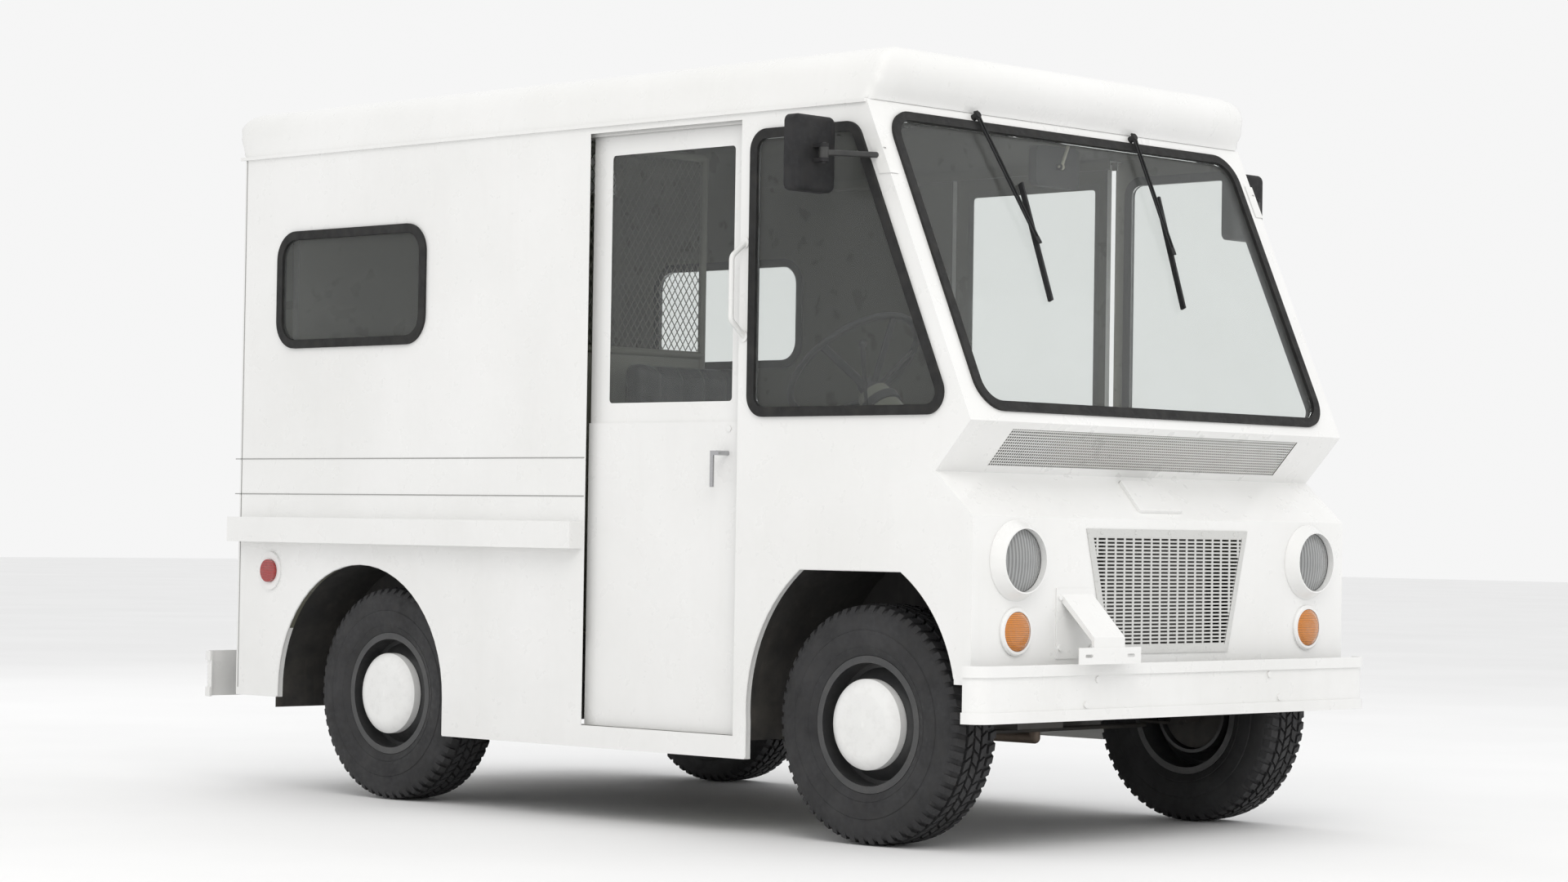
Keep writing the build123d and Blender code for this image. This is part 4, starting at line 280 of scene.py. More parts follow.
def lens(name, colour, flutes, across):
    material, tree, shader = newMaterial(name)
    flat = objectCoords(tree)
    wave = tree.nodes.new("ShaderNodeTexWave")
    wave.bands_direction = across
    wave.inputs["Scale"].default_value = flutes
    wave.inputs["Distortion"].default_value = 0.0
    tree.links.new(flat, wave.inputs["Vector"])
    # painted shade: the flute grooves are coloured darker than the ridges, following the same wave as the bump;
    # the film mixed in below is dust
    paintedFluteShade = tuple(c * 0.55 for c in colour)
    tint = blendColour(tree, ramp(tree, wave.outputs["Fac"], 0.2, 0.9), paintedFluteShade, colour)
    film = ramp(tree, noise(tree, flat, 24.0, 5.0), 0.5, 0.8, 0.0, 0.2)
    tree.links.new(blendColour(tree, film, tint, (0.40, 0.38, 0.33)), shader.inputs["Base Color"])
    tree.links.new(ramp(tree, noise(tree, flat, 40.0), 0.3, 0.7, 0.08, 0.2), shader.inputs["Roughness"])
    shader.inputs["Transmission Weight"].default_value = 0.25
    shader.inputs["Coat Weight"].default_value = 0.8
    bump(tree, shader, wave.outputs["Fac"], 0.5, 0.0016)
    return material


def brightMetal(name, colour, roughLow, roughHigh, metallic=1.0):
    material, tree, shader = newMaterial(name)
    flat = objectCoords(tree)
    pits = ramp(tree, noise(tree, flat, 170.0, 4.0), 0.6, 0.75, 0.0, 0.5)
    pitted = tuple(c * 0.45 for c in colour)
    tree.links.new(blendColour(tree, pits, colour, pitted), shader.inputs["Base Color"])
    roughNow = ramp(tree, noise(tree, flat, 30.0, 5.0), 0.3, 0.7, roughLow, roughHigh)
    tree.links.new(roughNow, shader.inputs["Roughness"])
    shader.inputs["Metallic"].default_value = metallic
    bump(tree, shader, noise(tree, flat, 240.0, 2.0), 0.08, 0.0005)
    return material


def vinyl(name, colour):
    material, tree, shader = newMaterial(name)
    flat = objectCoords(tree)
    grain = tree.nodes.new("ShaderNodeTexVoronoi")
    grain.inputs["Scale"].default_value = 460.0
    tree.links.new(flat, grain.inputs["Vector"])
    worn = ramp(tree, noise(tree, flat, 9.0, 6.0), 0.4, 0.75)
    rubbed = tuple(min(1.0, c * 2.4 + 0.01) for c in colour)
    tree.links.new(blendColour(tree, worn, colour, rubbed), shader.inputs["Base Color"])
    tree.links.new(ramp(tree, worn, 0.0, 1.0, 0.55, 0.35), shader.inputs["Roughness"])
    shader.inputs["Sheen Weight"].default_value = 0.1
    bump(tree, shader, grain.outputs["Distance"], 0.3, 0.0008)
    bump(tree, shader, noise(tree, flat, 26.0, 4.0), 0.25, 0.004)
    return material


# white clamp plates, black arms outside them, olive stem of the inside mirror
bracketLook = {
    "armX": (0.8665, 0.8675), "stemX": (0.40, 0.39), "plate": (0.84, 0.84, 0.83), "plateWorn": (0.77, 0.77, 0.75),
    "arm": (0.022, 0.022, 0.023), "armWorn": (0.05, 0.05, 0.048), "stem": (0.40, 0.385, 0.30),
    "stemWorn": (0.33, 0.32, 0.25),
}


def bracketPaint():
    material, tree, shader = newMaterial("bracketEnamel")
    flat = objectCoords(tree)
    spot = heightOf(tree)
    across = maths(tree, "ABSOLUTE", spot.outputs["X"])
    isArm = ramp(tree, across, *bracketLook["armX"])
    isStem = ramp(tree, across, *bracketLook["stemX"])
    cloud = ramp(tree, noise(tree, flat, 18.0, 5.0), 0.3, 0.7)
    plate = blendColour(tree, cloud, bracketLook["plate"], bracketLook["plateWorn"])
    arm = blendColour(tree, cloud, bracketLook["arm"], bracketLook["armWorn"])
    stem = blendColour(tree, cloud, bracketLook["stem"], bracketLook["stemWorn"])
    colourNow = blendColour(tree, isArm, plate, arm)
    tree.links.new(blendColour(tree, isStem, colourNow, stem), shader.inputs["Base Color"])
    tree.links.new(ramp(tree, noise(tree, flat, 60.0), 0.3, 0.7, 0.3, 0.5), shader.inputs["Roughness"])
    bump(tree, shader, noise(tree, flat, 500.0, 2.0), 0.08, 0.0006)
    return material


wheelFinish = wheelPaint()
bracketFinish = bracketPaint()
tyreRubber = rubber("tyreRubber", (0.020, 0.020, 0.021), (0.085, 0.080, 0.072), 0.22, 500.0)
sealRubber = rubber("sealRubber", (0.012, 0.012, 0.012), (0.09, 0.085, 0.075), 0.30, 700.0)
paneGlass = glass("safetyGlass", (0.88, 0.90, 0.89), 0.0, 0.06)
headlampLens = lens("flutedLens", (0.42, 0.43, 0.43), 26.0, "X")
amberLens = lens("amberLens", (0.90, 0.30, 0.02), 60.0, "Z")
redLens = lens("redLens", (0.55, 0.012, 0.010), 60.0, "Z")
chromePlate = brightMetal("chromePlate", (0.46, 0.46, 0.47), 0.10, 0.24)
grilleMetal = brightMetal("grilleAluminium", (0.70, 0.70, 0.68), 0.30, 0.48, 0.75)
exhaustSteel = brightMetal("exhaustSteel", (0.26, 0.21, 0.17), 0.5, 0.75, 0.8)
blackPlastic = rubber("satinBlack", (0.014, 0.014, 0.015), (0.12, 0.11, 0.10), 0.18, 900.0)
seatVinyl = vinyl("blackVinyl", (0.016, 0.016, 0.018))
print("finishes made")

finishOfSlot = {
    "body_paint": whitePaint, "bumper_paint": bumperPaint, "interior_paint": cabinPaint,
    "door_glass": paneGlass, "seal_rubber": sealRubber, "tyre_rubber": tyreRubber, "rim_paint": wheelFinish,
    "chassis_black": chassisPaint, "cast_iron": ironFinish, "exhaust_steel": exhaustSteel,
    "chrome": chromePlate, "lamp_glass": headlampLens, "amber_plastic": amberLens, "red_plastic": redLens,
    "grille_metal": grilleMetal, "mesh_metal": meshPaint,
    "black_plastic": blackPlastic, "seat_vinyl": seatVinyl, "partition_mesh": cabinPaint,
}
for row in frame["record"]["subparts"]:
    node, finish = frame["nodes"][row["node"]], finishOfSlot[row["material_slot"]]
    if not node.material_slots:
        node.data.materials.append(finish)
    for slot in node.material_slots:
        slot.material = finish
frame["nodes"]["mirror_brackets"].material_slots[0].material = bracketFinish
print("cad pieces painted")


def meshPiece(name, verts, faces, material, body, smooth=True):
    data = bpy.data.meshes.new(name)
    data.from_pydata([tuple(v) for v in verts], [], faces)
    data.validate()
    data.update()
    piece = bpy.data.objects.new(name, data)
    scene.collection.objects.link(piece)
    data.materials.append(material)
    if smooth:
        for polygon in data.polygons:
            polygon.use_smooth = True
        data.set_sharp_from_angle(angle=math.radians(38))
    work = bmesh.new()
    work.from_mesh(data)
    bmesh.ops.recalc_face_normals(work, faces=work.faces)
    work.to_mesh(data)
    work.free()
    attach(piece, body)
    return piece


def addBlock(verts, faces, corners):
    start = len(verts)
    verts.extend(corners)
    for quad in ((0, 1, 2, 3), (7, 6, 5, 4), (0, 4, 5, 1), (1, 5, 6, 2), (2, 6, 7, 3), (3, 7, 4, 0)):
        faces.append(tuple(start + i for i in quad))


def addBox(verts, faces, low, high):
    (x0, y0, z0), (x1, y1, z1) = low, high
    addBlock(verts, faces, [
        (x0, y0, z0), (x1, y0, z0), (x1, y1, z0), (x0, y1, z0),
        (x0, y0, z1), (x1, y0, z1), (x1, y1, z1), (x0, y1, z1),
    ])


def addBar(verts, faces, start, end, wide, thick, normal):
    start, end, normal = Vector(start), Vector(end), Vector(normal).normalized()
    side = (end - start).cross(normal).normalized() * wide / 2
    up = normal * thick / 2
    addBlock(verts, faces, [
        start - side - up, start + side - up, start + side + up, start - side + up,
        end - side - up, end + side - up, end + side + up, end - side + up,
    ])


def addLathe(verts, faces, profile, steps, toPoint):
    start = len(verts)
    count = len(profile)
    for step in range(steps):
        angle = 2 * math.pi * step / steps
        for along, radius in profile:
            verts.append(toPoint(along, radius, angle))
    for step in range(steps):
        after = (step + 1) % steps
        for i in range(count):
            j = (i + 1) % count
            faces.append((start + step * count + i, start + step * count + j,
                          start + after * count + j, start + after * count + i))


def addTube(verts, faces, path, radius, steps=12):
    start = len(verts)
    path = [Vector(p) for p in path]
    for i, point in enumerate(path):
        along = (path[min(i + 1, len(path) - 1)] - path[max(i - 1, 0)]).normalized()
        side = along.orthogonal().normalized() if i == 0 else (side - along * side.dot(along)).normalized()
        other = along.cross(side)
        for step in range(steps):
            angle = 2 * math.pi * step / steps
            verts.append(point + side * math.cos(angle) * radius + other * math.sin(angle) * radius)
    for i in range(len(path) - 1):
        for step in range(steps):
            after = (step + 1) % steps
            faces.append((start + i * steps + step, start + i * steps + after,
                          start + (i + 1) * steps + after, start + (i + 1) * steps + step))
    faces.append(tuple(start + step for step in reversed(range(steps))))
    faces.append(tuple(start + (len(path) - 1) * steps + step for step in range(steps)))


# tyres: grooved sidewalls and two rows of shoulder lugs round a zigzag centre
tyreLook = {
    "blocks": 58, "treadDepth": 0.0085, "shoulderIn": 0.052, "shoulderEdge": 0.080, "shoulderOut": 0.0905,
    "centreRows": (-0.030, 0.0, 0.030), "ribWide": 0.021, "steps": 116, "blockWide": 0.62, "ribLong": 0.80,
    "draft": 0.93,
}


def makeTyre(name, side, axleY, body):
    base = tyreRadius - tyreLook["treadDepth"]
    profile = [
        (-0.078, 0.1785), (-0.078, 0.1925), (-0.082, 0.1935), (-0.0875, 0.203), (-0.0925, 0.214),
        (-0.0915, 0.2165), (-0.0945, 0.222), (-0.0968, 0.243), (-0.0978, 0.262), (-0.0955, 0.2645),
        (-0.0965, 0.268), (-0.0955, 0.290), (-0.0925, 0.306), (-0.089, 0.317), (-0.080, base - 0.004),
        (-0.045, base - 0.001), (0.0, base),
    ]
    profile = profile + [(-a, r) for a, r in reversed(profile[:-1])]
    verts, faces = [], []

    def toPoint(along, radius, angle):
        return (side * (wheelX + along), axleY + radius * math.sin(angle), tyreRadius + radius * math.cos(angle))

    addLathe(verts, faces, profile, tyreLook["steps"], toPoint)
    pitch = 2 * math.pi / tyreLook["blocks"]

    # near and far are each (along, foot radius, top radius), one end of a block
    def addLug(near, far, centre, width, skew):
        ends = ((near, centre - skew), (far, centre + skew))
        corners = []
        for level, half in ((1, width / 2), (2, width / 2 * tyreLook["draft"])):
            row = [toPoint(end[0], end[level], turn + way * half) for way in (-1, 1) for end, turn in ends]
            corners += [row[0], row[1], row[3], row[2]]
        addBlock(verts, faces, corners)

    for i in range(tyreLook["blocks"]):
        centre = i * pitch
        for way in (-1, 1):
            shift = centre + (pitch / 2 if way > 0 else 0.0)
            edge = way * tyreLook["shoulderEdge"]
            addLug((way * tyreLook["shoulderIn"], base - 0.006, tyreRadius - 0.0008),
                   (edge, base - 0.008, tyreRadius - 0.0045), shift, pitch * tyreLook["blockWide"], pitch * 0.10)
            addLug((edge, base - 0.010, tyreRadius - 0.0045),
                   (way * tyreLook["shoulderOut"], 0.307, tyreRadius - 0.020),
                   shift + pitch * 0.12, pitch * tyreLook["blockWide"], pitch * 0.02)
        for n, row in enumerate(tyreLook["centreRows"]):
            zig = pitch * 0.22 * (1 if n % 2 else -1)
            ends = [(row + way * tyreLook["ribWide"] / 2, base - 0.005, tyreRadius - 0.0002) for way in (-1, 1)]
            addLug(*ends, centre + zig, pitch * tyreLook["ribLong"], zig)
    return meshPiece(name, verts, faces, tyreRubber, body)


for axleName, axleY in (("front", frontAxleY), ("rear", rearAxleY)):
    for side, sideName in ((-1, "right"), (1, "left")):
        tyre = makeTyre(f"treadTyre_{axleName}_{sideName}", side, axleY, f"wheel_{axleName}_{sideName}")
        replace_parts(tyre, f"tyre_{axleName}_{sideName}")
print("tyres made")

# tyre valves, one a wheel: (out from the wheel's middle, from the axle)
valveLook = {"radius": 0.004, "path": ((0.020, 0.152), (0.048, 0.150), (0.060, 0.146)), "steps": 10}
for axleName, axleY in (("front", frontAxleY), ("rear", rearAxleY)):
    for side, sideName in ((-1, "right"), (1, "left")):
        verts, faces = [], []
        path = [(side * (wheelX + out), axleY + away, tyreRadius) for out, away in valveLook["path"]]
        addTube(verts, faces, path, valveLook["radius"], valveLook["steps"])
        wheel = f"{axleName}_{sideName}"
        meshPiece(f"valve_{wheel}", verts, faces, sealRubber, f"wheel_{wheel}")
print("valves made")

# grille: a riveted flange round rows of short slots between thin bars
grilleLook = {
    "rowPitch": 0.0105, "barHigh": 0.0048, "columnPitch": 0.041, "postWide": 0.0085, "thick": 0.0022,
    "topZ": 0.892, "lowZ": 0.540, "topHalf": 0.375, "lowHalf": 0.285, "flange": 0.022, "rivets": 5,
    "rivetPitch": 0.155, "flangeBack": 0.0004, "flangeEdge": 0.0030, "flangeFace": 0.0042,
}
rivetProfile = ((0.0, 0.0001), (0.0, 0.0055), (0.0016, 0.0048), (0.0028, 0.0026), (0.0031, 0.0001))


def grilleHalfAt(z, inset=0.0):
    part = (z - grilleLook["lowZ"]) / (grilleLook["topZ"] - grilleLook["lowZ"])
    return grilleLook["lowHalf"] + part * (grilleLook["topHalf"] - grilleLook["lowHalf"]) - inset


def makeGrille():
    look = grilleLook
    verts, faces = [], []
    yFace = noseY - 0.0022
    thick, flange = look["thick"], look["flange"]
    lowZ, topZ = look["lowZ"] + flange, look["topZ"] - flange
    edge = flange * 1.03
    z = lowZ
    while z < topZ:
        half = grilleHalfAt(z, edge)
        barTop = min(z + look["barHigh"], topZ)
        addBox(verts, faces, (-half, yFace - thick / 2, z), (half, yFace + thick / 2, barTop))
        z += look["rowPitch"]
    slopeRun = (look["topZ"] - look["lowZ"]) / (look["topHalf"] - look["lowHalf"])
    columns = int(2 * look["topHalf"] / look["columnPitch"])
    for i in range(-columns // 2, columns // 2 + 1):
        x, halfPost = i * look["columnPitch"], look["postWide"] / 2
        need = abs(x) + halfPost + edge
        if need > look["topHalf"]:
            continue
        low = max(lowZ, look["lowZ"] + (need - look["lowHalf"]) * slopeRun)
        addBox(verts, faces, (x - halfPost, yFace - thick / 2 - 0.0002, low),
               (x + halfPost, yFace + thick / 2 + 0.0002, topZ))
    outer = [(-look["topHalf"], look["topZ"]), (look["topHalf"], look["topZ"]),
             (look["lowHalf"], look["lowZ"]), (-look["lowHalf"], look["lowZ"])]
    inner = [(-grilleHalfAt(topZ, edge), topZ), (grilleHalfAt(topZ, edge), topZ),
             (grilleHalfAt(lowZ, edge), lowZ), (-grilleHalfAt(lowZ, edge), lowZ)]
    start = len(verts)
    rings = ((outer, "flangeBack"), (outer, "flangeEdge"), (inner, "flangeFace"), (inner, "flangeBack"))
    for ring, proud in rings:
        verts.extend([(x, noseY - look[proud], z) for x, z in ring])
    for level in range(4):
        after = (level + 1) % 4
        for i in range(4):
            j = (i + 1) % 4
            near, far = start + level * 4, start + after * 4
            faces.append((near + i, near + j, far + j, far + i))
    rivetZ = look["topZ"] - flange * 0.5
    for i in range(look["rivets"]):
        middle = (i - (look["rivets"] - 1) / 2) * look["rivetPitch"]

        def toPoint(out, radius, angle, x=middle):
            return (x + radius * math.cos(angle), noseY - 0.0036 - out, rivetZ + radius * math.sin(angle))

        addLathe(verts, faces, rivetProfile, 14, toPoint)
    return meshPiece("slottedGrille", verts, faces, grilleMetal, "body")


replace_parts(makeGrille(), "grille")
print("grille made")

# cowl inlet: woven bars behind the undercut
cowlLook = {"pitch": 0.0095, "bar": 0.0034, "thickAcross": 0.0009, "thickDown": 0.0008, "edge": 0.002}


def makeCowlMesh():
    low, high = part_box("cowl_mesh")
    top = Vector((0, low[1], high[2]))
    foot = Vector((0, high[1], low[2]))
    run = foot - top
    normal = Vector((1, 0, 0)).cross(run).normalized()
    half = high[0] - cowlLook["edge"]
    verts, faces = [], []
    rows = int(run.length / cowlLook["pitch"])
    for i in range(rows + 1):
        p = top + run * (i / rows)
        ends = p + Vector((-half, 0, 0)), p + Vector((half, 0, 0))
        addBar(verts, faces, *ends, cowlLook["bar"], cowlLook["thickAcross"], normal)
    count = int(2 * half / cowlLook["pitch"])
    for i in range(count + 1):
        x = Vector((-half + 2 * half * i / count, 0, 0))
        addBar(verts, faces, top + x, foot + x, cowlLook["bar"], cowlLook["thickDown"], normal)
    return meshPiece("cowlScreen", verts, faces, meshPaint, "body", smooth=False)


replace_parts(makeCowlMesh(), "cowl_mesh")
print("cowl screen made")

# partition: welded tube frame, lower sheet, diamond mesh above
partitionLook = {
    "tube": 0.0125, "meshLowZ": 1.43, "cellWide": 0.025, "cellHigh": 0.037, "wire": 0.0024, "wireThick": 0.0016,
    "sheet": 0.0024, "shortest": 0.004,
}


def makePartitionFrame():
    low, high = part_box("partition")
    tube, split = partitionLook["tube"], partitionLook["meshLowZ"] - partitionLook["tube"]
    y = (low[1] + high[1]) / 2
    x0, x1, z0, z1 = low[0] + tube, high[0] - tube, low[2] + tube, high[2] - tube
    verts, faces = [], []
    runs = (
        ((x0, z0), (x1, z0)), ((x0, z1), (x1, z1)), ((x0, z0), (x0, z1)), ((x1, z0), (x1, z1)),
        ((x0, split), (x1, split)),
    )
    for start, end in runs:
        addTube(verts, faces, [(start[0], y, start[1]), (end[0], y, end[1])], tube * 0.96, 14)
    half = partitionLook["sheet"] / 2
    addBox(verts, faces, (x0, y - half, z0), (x1, y + half, split))
    return meshPiece("partitionFrame", verts, faces, cabinPaint, "body")


def makePartitionMesh():
    low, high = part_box("partition")
    tube, lowZ = partitionLook["tube"], partitionLook["meshLowZ"]
    y = (low[1] + high[1]) / 2
    x0, x1, z1 = low[0] + tube, high[0] - tube, high[2] - tube
    reach = (z1 - lowZ) * partitionLook["cellWide"] / partitionLook["cellHigh"]
    verts, faces = [], []
    for way in (-1, 1):
        offset = -reach
        while offset < x1 - x0 + reach:
            (ax, az), (bx, bz) = sorted(((x0 + offset, lowZ), (x0 + offset + way * reach, z1)))
            offset += partitionLook["cellWide"]
            if bx <= x0 or ax >= x1:
                continue
            if ax < x0:
                az += (bz - az) * (x0 - ax) / (bx - ax)
                ax = x0
            if bx > x1:
                bz = az + (bz - az) * (x1 - ax) / (bx - ax)
                bx = x1
            if bx - ax > partitionLook["shortest"]:
                level = y + way * 0.0005
                addBar(verts, faces, (ax, level, az), (bx, level, bz),
                       partitionLook["wire"], partitionLook["wireThick"], (0, 1, 0))
    return meshPiece("partitionMesh", verts, faces, cabinPaint, "body", smooth=False)


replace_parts(makePartitionFrame(), "partition")
makePartitionMesh()
print("partition made")

# seams of the body sheets
seamLook = {
    "wide": 0.0032, "proud": 0.0011, "sunk": 0.0004, "levels": (1.082, 0.967), "cornerIn": 0.035,
    "jambIn": 0.010, "rearIn": 0.002, "cornerZ": (0.33, 2.07),
}
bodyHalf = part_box("side_panel_left")[1][0]
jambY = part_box("door_right")[1][1] - seamLook["jambIn"]


def makeSeams():
    verts, faces = [], []
    half = seamLook["wide"] / 2
    y = rearY - seamLook["cornerIn"]
    footZ, headZ = seamLook["cornerZ"]
    for side in (-1, 1):
        x0, x1 = sorted((side * (bodyHalf - seamLook["sunk"]), side * (bodyHalf + seamLook["proud"])))
        for z in seamLook["levels"]:
            addBox(verts, faces, (x0, jambY, z - half), (x1, rearY - seamLook["rearIn"], z + half))
        addBox(verts, faces, (x0, y - half, footZ), (x1, y + half, headZ))
    return meshPiece("bodySeams", verts, faces, seamPaint, "body", smooth=False)


makeSeams()
print("seams made")

# rolled lips of the wheel arches; front arch points are (from the axle, height)
lipLook = {
    "radius": 0.0045, "inset": 0.0042, "steps": 14, "footZ": 0.222, "archTopZ": 0.768,
    "frontRearLow": (0.424, 0.322), "frontRearTop": 0.217, "frontTop": -0.164, "frontLow": (-0.365, 0.480),
    "archRadius": 0.412, "archSetback": 0.090, "archZ": 0.335, "rearFootZ": 0.308,
}


def arcThrough(a, b, c, steps):
    (ay, az), (by, bz), (cy, cz) = a, b, c
    d = 2 * (ay * (bz - cz) + by * (cz - az) + cy * (az - bz))
    aa, bb, cc = ay**2 + az**2, by**2 + bz**2, cy**2 + cz**2
    oy = (aa * (bz - cz) + bb * (cz - az) + cc * (az - bz)) / d
    oz = (aa * (cy - by) + bb * (ay - cy) + cc * (by - ay)) / d
    radius = math.hypot(ay - oy, az - oz)
    first = math.atan2(az - oz, ay - oy)
    sweep = math.remainder(math.atan2(cz - oz, cy - oy) - first, 2 * math.pi)
    angles = [first + sweep * i / steps for i in range(steps + 1)]
    return [(oy + radius * math.cos(angle), oz + radius * math.sin(angle)) for angle in angles]


def between(a, b, alongY, alongZ):
    return (a[0] * alongY + b[0] * (1 - alongY), a[1] * alongZ + b[1] * (1 - alongZ))


def frontArchPath():
    topZ, steps = lipLook["archTopZ"], lipLook["steps"]
    rearLow = (frontAxleY + lipLook["frontRearLow"][0], lipLook["frontRearLow"][1])
    rearTop = (frontAxleY + lipLook["frontRearTop"], topZ)
    frontTop = (frontAxleY + lipLook["frontTop"], topZ)
    frontLow = (frontAxleY + lipLook["frontLow"][0], lipLook["frontLow"][1])
    path = [(rearLow[0], lipLook["footZ"])]
    path += arcThrough(rearLow, between(rearTop, rearLow, 0.26, 0.605), rearTop, steps)
    return path + arcThrough(frontTop, between(frontTop, frontLow, 0.45, 0.66), frontLow, steps)


def rearArchPath():
    centre, radius, count = rearAxleY + lipLook["archSetback"], lipLook["archRadius"], 2 * lipLook["steps"]
    path = [(centre - radius, lipLook["footZ"])]
    for i in range(count + 1):
        angle = math.pi * (1 - i / count)
        path.append((centre + radius * math.cos(angle), lipLook["archZ"] + radius * math.sin(angle)))
    return path + [(centre + radius, lipLook["rearFootZ"])]


def makeArchLips():
    verts, faces = [], []
    for side in (-1, 1):
        x = side * (bodyHalf - lipLook["inset"])
        for path in (frontArchPath(), rearArchPath()):
            addTube(verts, faces, [(x, y, z) for y, z in path], lipLook["radius"], 10)
    return meshPiece("archLips", verts, faces, bumperPaint, "body")


makeArchLips()
print("arch lips made")

# roof: rolled edges and soft mitres, cut from two crossed sections and eased
roofLook = {
    "voxel": 0.011, "ease": 9, "easeFactor": 0.6, "sheet": 0.003, "eavesZ": 2.080, "skirt": 0.035, "sharp": 50,
    "visor": 0.044, "rearLip": 0.066,
}


def extruded(name, points, axis, low, high):
    work = bmesh.new()
    rings = []
    for level in (low, high):
        ring = []
        for a, z in points:
            ring.append(work.verts.new((a, level, z) if axis == 1 else (level, a, z)))
        rings.append(ring)
    work.faces.new(rings[0])
    work.faces.new(list(reversed(rings[1])))
    count = len(points)
    for i in range(count):
        j = (i + 1) % count
        work.faces.new((rings[0][j], rings[0][i], rings[1][i], rings[1][j]))
    bmesh.ops.recalc_face_normals(work, faces=work.faces)
    data = bpy.data.meshes.new(name)
    work.to_mesh(data)
    work.free()
    piece = bpy.data.objects.new(name, data)
    scene.collection.objects.link(piece)
    return piece


def makeRoof():
    low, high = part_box("roof")
    half, top, eaves = high[0], high[2], roofLook["eavesZ"]
    foot = eaves - roofLook["skirt"]
    right = [
        (half, foot), (half, eaves), (half - 0.020, 2.181), (half - 0.034, 2.206), (half - 0.062, 2.226),
        (half - 0.112, top),
    ]
    cross = right + [(-x, z) for x, z in reversed(right)]
    front, back = low[1] + roofLook["visor"], high[1] - roofLook["rearLip"]
    long = [
        (front, foot), (front, eaves), (front - 0.014, 2.100), (front - 0.028, 2.124), (front - 0.038, 2.152),
        (front - 0.043, 2.182), (front - 0.040, 2.207), (front - 0.028, 2.227), (front - 0.006, top),
        (back + 0.008, top), (back + 0.036, 2.226), (back + 0.056, 2.204), (back + 0.066, 2.172),
        (back + 0.020, 2.084), (back, eaves), (back, foot),
    ]
    block = extruded("rolledRoof", cross, 1, front - 0.3, back + 0.3)
    cutter = extruded("roofCutter", long, 0, -half - 0.2, half + 0.2)
    meet = block.modifiers.new("meet", "BOOLEAN")
    meet.operation = "INTERSECT"
    meet.solver = "EXACT"
    meet.object = cutter
    fine = block.modifiers.new("fine", "REMESH")
    fine.mode = "VOXEL"
    fine.voxel_size = roofLook["voxel"]
    ease = block.modifiers.new("ease", "SMOOTH")
    ease.factor = roofLook["easeFactor"]
    ease.iterations = roofLook["ease"]
    bpy.context.view_layer.objects.active = block
    block.select_set(True)
    for name in ("meet", "fine", "ease"):
        bpy.ops.object.modifier_apply(modifier=name)
    bpy.data.objects.remove(cutter)
    work = bmesh.new()
    work.from_mesh(block.data)
    everything = work.verts[:] + work.edges[:] + work.faces[:]
    bmesh.ops.bisect_plane(work, geom=everything, plane_co=(0, 0, eaves), plane_no=(0, 0, 1), clear_inner=True)
    for vert in work.verts:
        for i in range(3):
            vert.co[i] = min(max(vert.co[i], low[i]), high[i])
    bmesh.ops.solidify(work, geom=work.faces[:], thickness=roofLook["sheet"])
    work.normal_update()
    for face in work.faces:
        face.smooth = True
    work.to_mesh(block.data)
    work.free()
    block.data.materials.append(whitePaint)
    block.data.set_sharp_from_angle(angle=math.radians(roofLook["sharp"]))
    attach(block, "body")
    return block


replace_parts(makeRoof(), "roof")
print("roof made")

# driver's seat: two padded pieces over the folded plate
seatLow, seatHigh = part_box("driver_seat")
cushionLook = {
    "high": 0.120, "inset": 0.014, "voxel": 0.007, "pressure": 4.0, "cap": 0.016, "frames": 20, "quality": 5,
    "fill": 0.7, "channels": (0.2, 0.4, 0.6, 0.8), "channelDeep": 0.007, "channelWide": 0.014,
}
plateLook = {"lowZ": 0.8003, "topZ": 0.8083, "sideIn": 0.05, "frontIn": 0.02, "thick": 0.008, "headIn": 0.06}


def softBlock(name, low, high, rounding):
    work = bmesh.new()
    bmesh.ops.create_cube(work, size=1.0)
    for vert in work.verts:
        vert.co = Vector([(low[i] + high[i]) / 2 + vert.co[i] * (high[i] - low[i]) for i in range(3)])
    bmesh.ops.bevel(work, geom=work.edges[:], offset=rounding, segments=4, profile=0.6, affect="EDGES")
    bmesh.ops.recalc_face_normals(work, faces=work.faces)
    data = bpy.data.meshes.new(name)
    work.to_mesh(data)
    work.free()
    piece = bpy.data.objects.new(name, data)
    scene.collection.objects.link(piece)
    data.materials.append(seatVinyl)
    return piece


def puff(piece):
    bpy.context.view_layer.objects.active = piece
    remesh = piece.modifiers.new("remesh", "REMESH")
    remesh.mode = "VOXEL"
    remesh.voxel_size = cushionLook["voxel"]
    for other in bpy.context.selected_objects:
        other.select_set(False)
    piece.select_set(True)
    bpy.ops.object.modifier_apply(modifier=remesh.name)
    before = [v.co.copy() for v in piece.data.vertices]
    cloth = piece.modifiers.new("cloth", "CLOTH")
    cloth.settings.use_pressure = True
    cloth.settings.uniform_pressure_force = cushionLook["pressure"]
    cloth.settings.effector_weights.gravity = 0.0
    cloth.settings.quality = cushionLook["quality"]
    cloth.point_cache.frame_start = 1
    cloth.point_cache.frame_end = cushionLook["frames"]
    for step in range(1, cushionLook["frames"] + 1):
        scene.frame_set(step)
    depsgraph = bpy.context.evaluated_depsgraph_get()
    evaluated = piece.evaluated_get(depsgraph)
    after = [v.co.copy() for v in evaluated.data.vertices]
    piece.modifiers.remove(cloth)
    scene.frame_set(1)
    for vert, old, new in zip(piece.data.vertices, before, after):
        move = new - old
        if move.length > cushionLook["cap"]:
            move = move.normalized() * cushionLook["cap"]
        vert.co = old + move
    for polygon in piece.data.polygons:
        polygon.use_smooth = True


